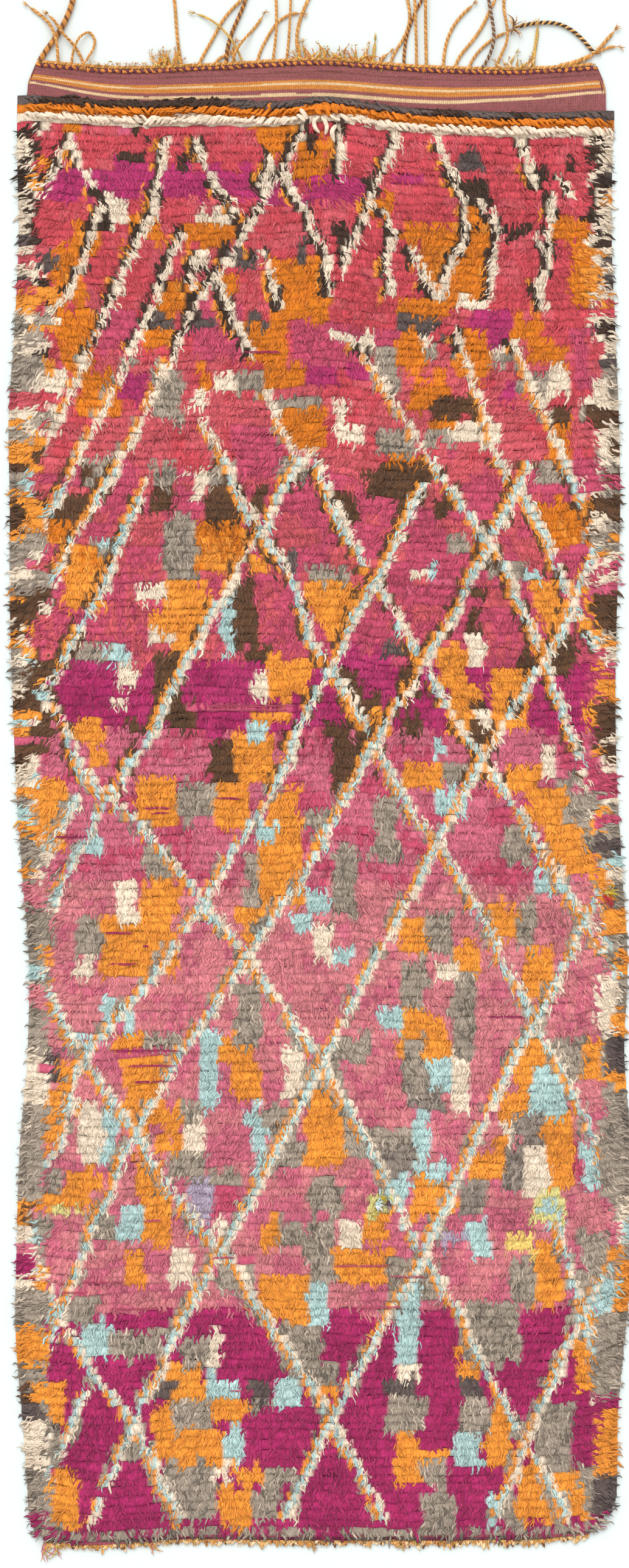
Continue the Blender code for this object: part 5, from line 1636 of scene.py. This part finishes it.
def head_cords(material):
    """The twisted warp cords, the loop, the corner plait and the frayed tufts at the head."""
    laid, pieces = [], []

    def lay(root, length, leans, diameter, plies):
        route = cord_route(root, length, leans, CORD_STEP)
        below = [item for item in laid if crosses(route, item[0])]
        heights = laid_heights(route, diameter / 2, below)
        lift = float(ripple(root[0], head_edge(root[0])))
        fall = lift * np.clip(1 - np.arange(len(route)) * CORD_STEP / LIFT_FALL, 0, 1)
        laid.append((route, heights, diameter / 2))
        line = fine_line(route, heights + fall)
        pieces.extend(plied(line, diameter, PLIES[plies]))
        fray = (math.radians(leans[-1]), 0.5, FRAY_STRANDS, FRAY_LENGTH, PLIES[plies])
        pieces.append(brush(line[-1], *fray, diameter * CORD_BRUSH, line[-1][2] * 0.8))
        return route[-1]

    for x, length, leans, diameter, plies in (*CORDS, LOOP, CORNER_PLAIT):
        tip = lay(cord_root(x, leans[0], diameter), length, leans, diameter, plies)
    for cord in CORNER_CORDS:
        lay(tip - [0.002, 0], *cord)
    for middle, width, count, height in HEAD_TUFTS:
        for n, place in enumerate(np.linspace(-0.5, 0.5, count)):
            pieces.extend(tuft_lock(middle, width, height, n, place))
    pieces.append(brush(KNOT_PLACE, 1.4, 1.6, 14, 0.028, ("tan", "umber", "straw"), 0.0010, 0.010))
    return add_mesh("head_cords", *joined(pieces), material)


def heading(material):
    """The heading: a plied cord along the head edge."""
    share = np.linspace(0, 1, round(HEADING_LENGTH / PLY_STEP))
    x = left_edge(HEAD_Y) + 0.004 + share * (right_edge(HEAD_Y) - left_edge(HEAD_Y) - 0.008)
    y = head_edge(x) + PIECE_GAP + HEADING_DIAMETER * 0.5 + 0.0005 * drift(x, x * 0, 0.012, 51)
    z = HEADING_DIAMETER * 0.5 + ripple(x, head_edge(x))
    plies = plied(np.stack([x, y, z], 1), HEADING_DIAMETER * 1.05, ("straw", "tan"))
    return add_mesh("heading", *joined(plies), material)


def twining(material):
    """The twined row on the head edge: slanted stitches in two yarns by turns."""
    across_edge = np.arange(left_edge(HEAD_Y) + 0.006, right_edge(HEAD_Y) - 0.004, STITCH_PITCH / 2)
    share = np.linspace(-1, 1, STITCH_POINTS)
    stitches = []
    for n, x in enumerate(across_edge):
        y = float(head_edge(x)) - 0.0035 + vary(0.0007)
        z = GROUND_THICKNESS + 0.0012 + float(ripple(x, y)) + 0.0013 * (1 - share**2)
        slant = STITCH_SLANT + vary(0.22)
        reach = share * STITCH_LENGTH * (0.75 + 0.4 * DRAW.random())
        path = np.stack([x + reach * math.cos(slant), y - reach * math.sin(slant), z], 1)
        radius = STITCH_WIDTH * np.sqrt(1 - share[1:-1] ** 2)
        tint = linear(("ochre", "plum")[(n // 2) % 2]) * (0.9 + vary(0.16))
        stitches.append(one_tube(path, radius, radius * 0.8, tint, 5))
    return add_mesh("twining", *joined(stitches), material)


def foot_loop(x):
    """A looped warp end at the foot, with a cut end beside some of them."""
    bends = np.linspace(0, 1, FOOT_LOOP_POINTS)
    reach = FOOT_LOOP_REACH[0] + DRAW.random() ** 2 * (FOOT_LOOP_REACH[1] - FOOT_LOOP_REACH[0])
    reach = reach * (0.8 + 0.45 * float(drift(x, 0, 0.022, 63)))
    sway = vary(0.006)
    width = 0.0024 + 0.0012 * DRAW.random()
    start = float(foot_edge(x)) + 0.003
    arch = np.sin(math.pi * bends)
    along = x + sway * arch + width * (bends - 0.5) * 2
    path = np.stack([along, start - (reach + 0.003) * arch, 0.0022 + 0.0030 * arch], 1)
    radius = np.full(FOOT_LOOP_POINTS - 2, 0.0013 + 0.0005 * DRAW.random())
    name = FOOT_LOOP_YARNS[DRAW.integers(len(FOOT_LOOP_YARNS))]
    ends = [one_tube(path, radius, radius, linear(name) * (1 + vary(0.12)), 4)]
    if DRAW.random() < 0.45:
        angle = math.pi + vary(0.5)
        ends.append(brush((x, start - 0.003), angle, 0.3, 1, 0.013, ("straw", "tan", "olive"), 0.0009))
    return ends


def foot_ends(material):
    """The cut and looped warp ends along the foot, with a few longer bundles."""
    share = np.linspace(0, 1, round(FOOT_LENGTH / PLY_STEP))
    left, right = left_edge(FOOT_Y) + 0.004, right_edge(FOOT_Y) - 0.004
    x = left + share * (right - left)
    line = np.stack([x, foot_edge(x) - PIECE_GAP - 0.0024, np.full(x.shape, 0.0028)], 1)
    pieces = plied(line, FOOT_CORD_DIAMETER, ("straw", "tan"))
    for x in np.arange(left, right, FOOT_LOOP_PITCH):
        pieces.extend(foot_loop(x))
    yarns = ("straw", "pink", "olive", "tan")
    for x, length, lean, count in FOOT_BUNDLES:
        root = (x, float(foot_edge(x)) - 0.002)
        pieces.append(brush(root, math.pi - math.radians(lean), 0.35, count, length, yarns, 0.0012))
    return add_mesh("foot_ends", *joined(pieces), material)


def pile_pieces(material):
    """The matted body of the pile and its strands, from the foot to the head."""
    x, names, tones = knot_yarns()
    first = [pile_mat(x, names, tones, material), head_ropes(material), glimpses(material)]
    made = []
    for *kind, pieces in STRAND_KINDS:
        arrays = pile_strands(names, tones, kind)
        for part in np.array_split(np.arange(len(arrays[0])), pieces):
            tubes = tube_arrays(*(values[part] for values in arrays), 3)
            made.append(add_mesh(f"pile_strands_{len(made) + 1}", *tubes, material))
    return [*first, *made, odd_ends(material)]


def floor_and_light():
    """A plain pale floor, a soft key light from the head side and an even surround."""
    bpy.ops.mesh.primitive_plane_add(size=14, location=(0, 0, -0.0006))
    floor = bpy.context.object
    floor.name = "floor"
    surface = {"Base Color": FLOOR_COLOUR, "Roughness": 0.9, "Specular IOR Level": 0.1}
    floor.data.materials.append(new_material("pale_floor", surface)[0])
    sun = bpy.data.lights.new("key", "SUN")
    sun.energy = SUN_POWER
    sun.angle = SUN_SPREAD
    key = bpy.data.objects.new("key", sun)
    key.rotation_euler = SUN_LEAN
    scene = bpy.context.scene
    scene.collection.objects.link(key)
    scene.world = bpy.data.worlds.new("surround")
    scene.world.use_nodes = True
    light = scene.world.node_tree.nodes["Background"]
    with_values(light, {"Color": (1, 1, 1, 1), "Strength": SURROUND})
    scene.view_settings.view_transform = "Standard"


def camera_above():
    """The camera, straight above the rug."""
    data = bpy.data.cameras.new("above")
    data.lens = LENS
    data.sensor_width = SENSOR
    camera = bpy.data.objects.new("above", data)
    camera.location = (*FRAME_MIDDLE, FRAME_LENGTH * LENS / SENSOR)
    bpy.context.scene.collection.objects.link(camera)
    bpy.context.scene.camera = camera


def finished(piece, slot, *nodes):
    """Rides a piece on the rug and hides the nodes that it stands for; the finish that it is given is
    not used.
    """
    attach(piece, "root")
    if nodes:
        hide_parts(*nodes)
    return piece


def main():
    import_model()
    camera_above()
    pile_wool = wool("pile_wool", 0.92, 0.0014, 0.08)
    cord_wool = wool("cord_wool", 0.85, 0.0004, 0.2)
    ground = finished(ground_cloth(woven("knotted_back", 0.0086, 0.0165, 0.0012, True)),
                      "ground_weave", "ground_cloth")
    band = finished(head_band(woven("flat_weave", RIB_PITCH, PICK_PITCH * 1.5, 0.0004, False, "straw")),
                    "ground_weave")
    strands = [finished(piece, "pile_wool", "pile") for piece in pile_pieces(pile_wool)]
    cords = finished(head_cords(cord_wool), "head_cords", "head_fringe")
    edge = finished(heading(cord_wool), "head_cords", "head_fringe")
    stitches = finished(twining(cord_wool), "head_cords")
    ends = finished(foot_ends(cord_wool), "foot_ends", "foot_fringe")
    floor_and_light()
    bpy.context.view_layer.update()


main()
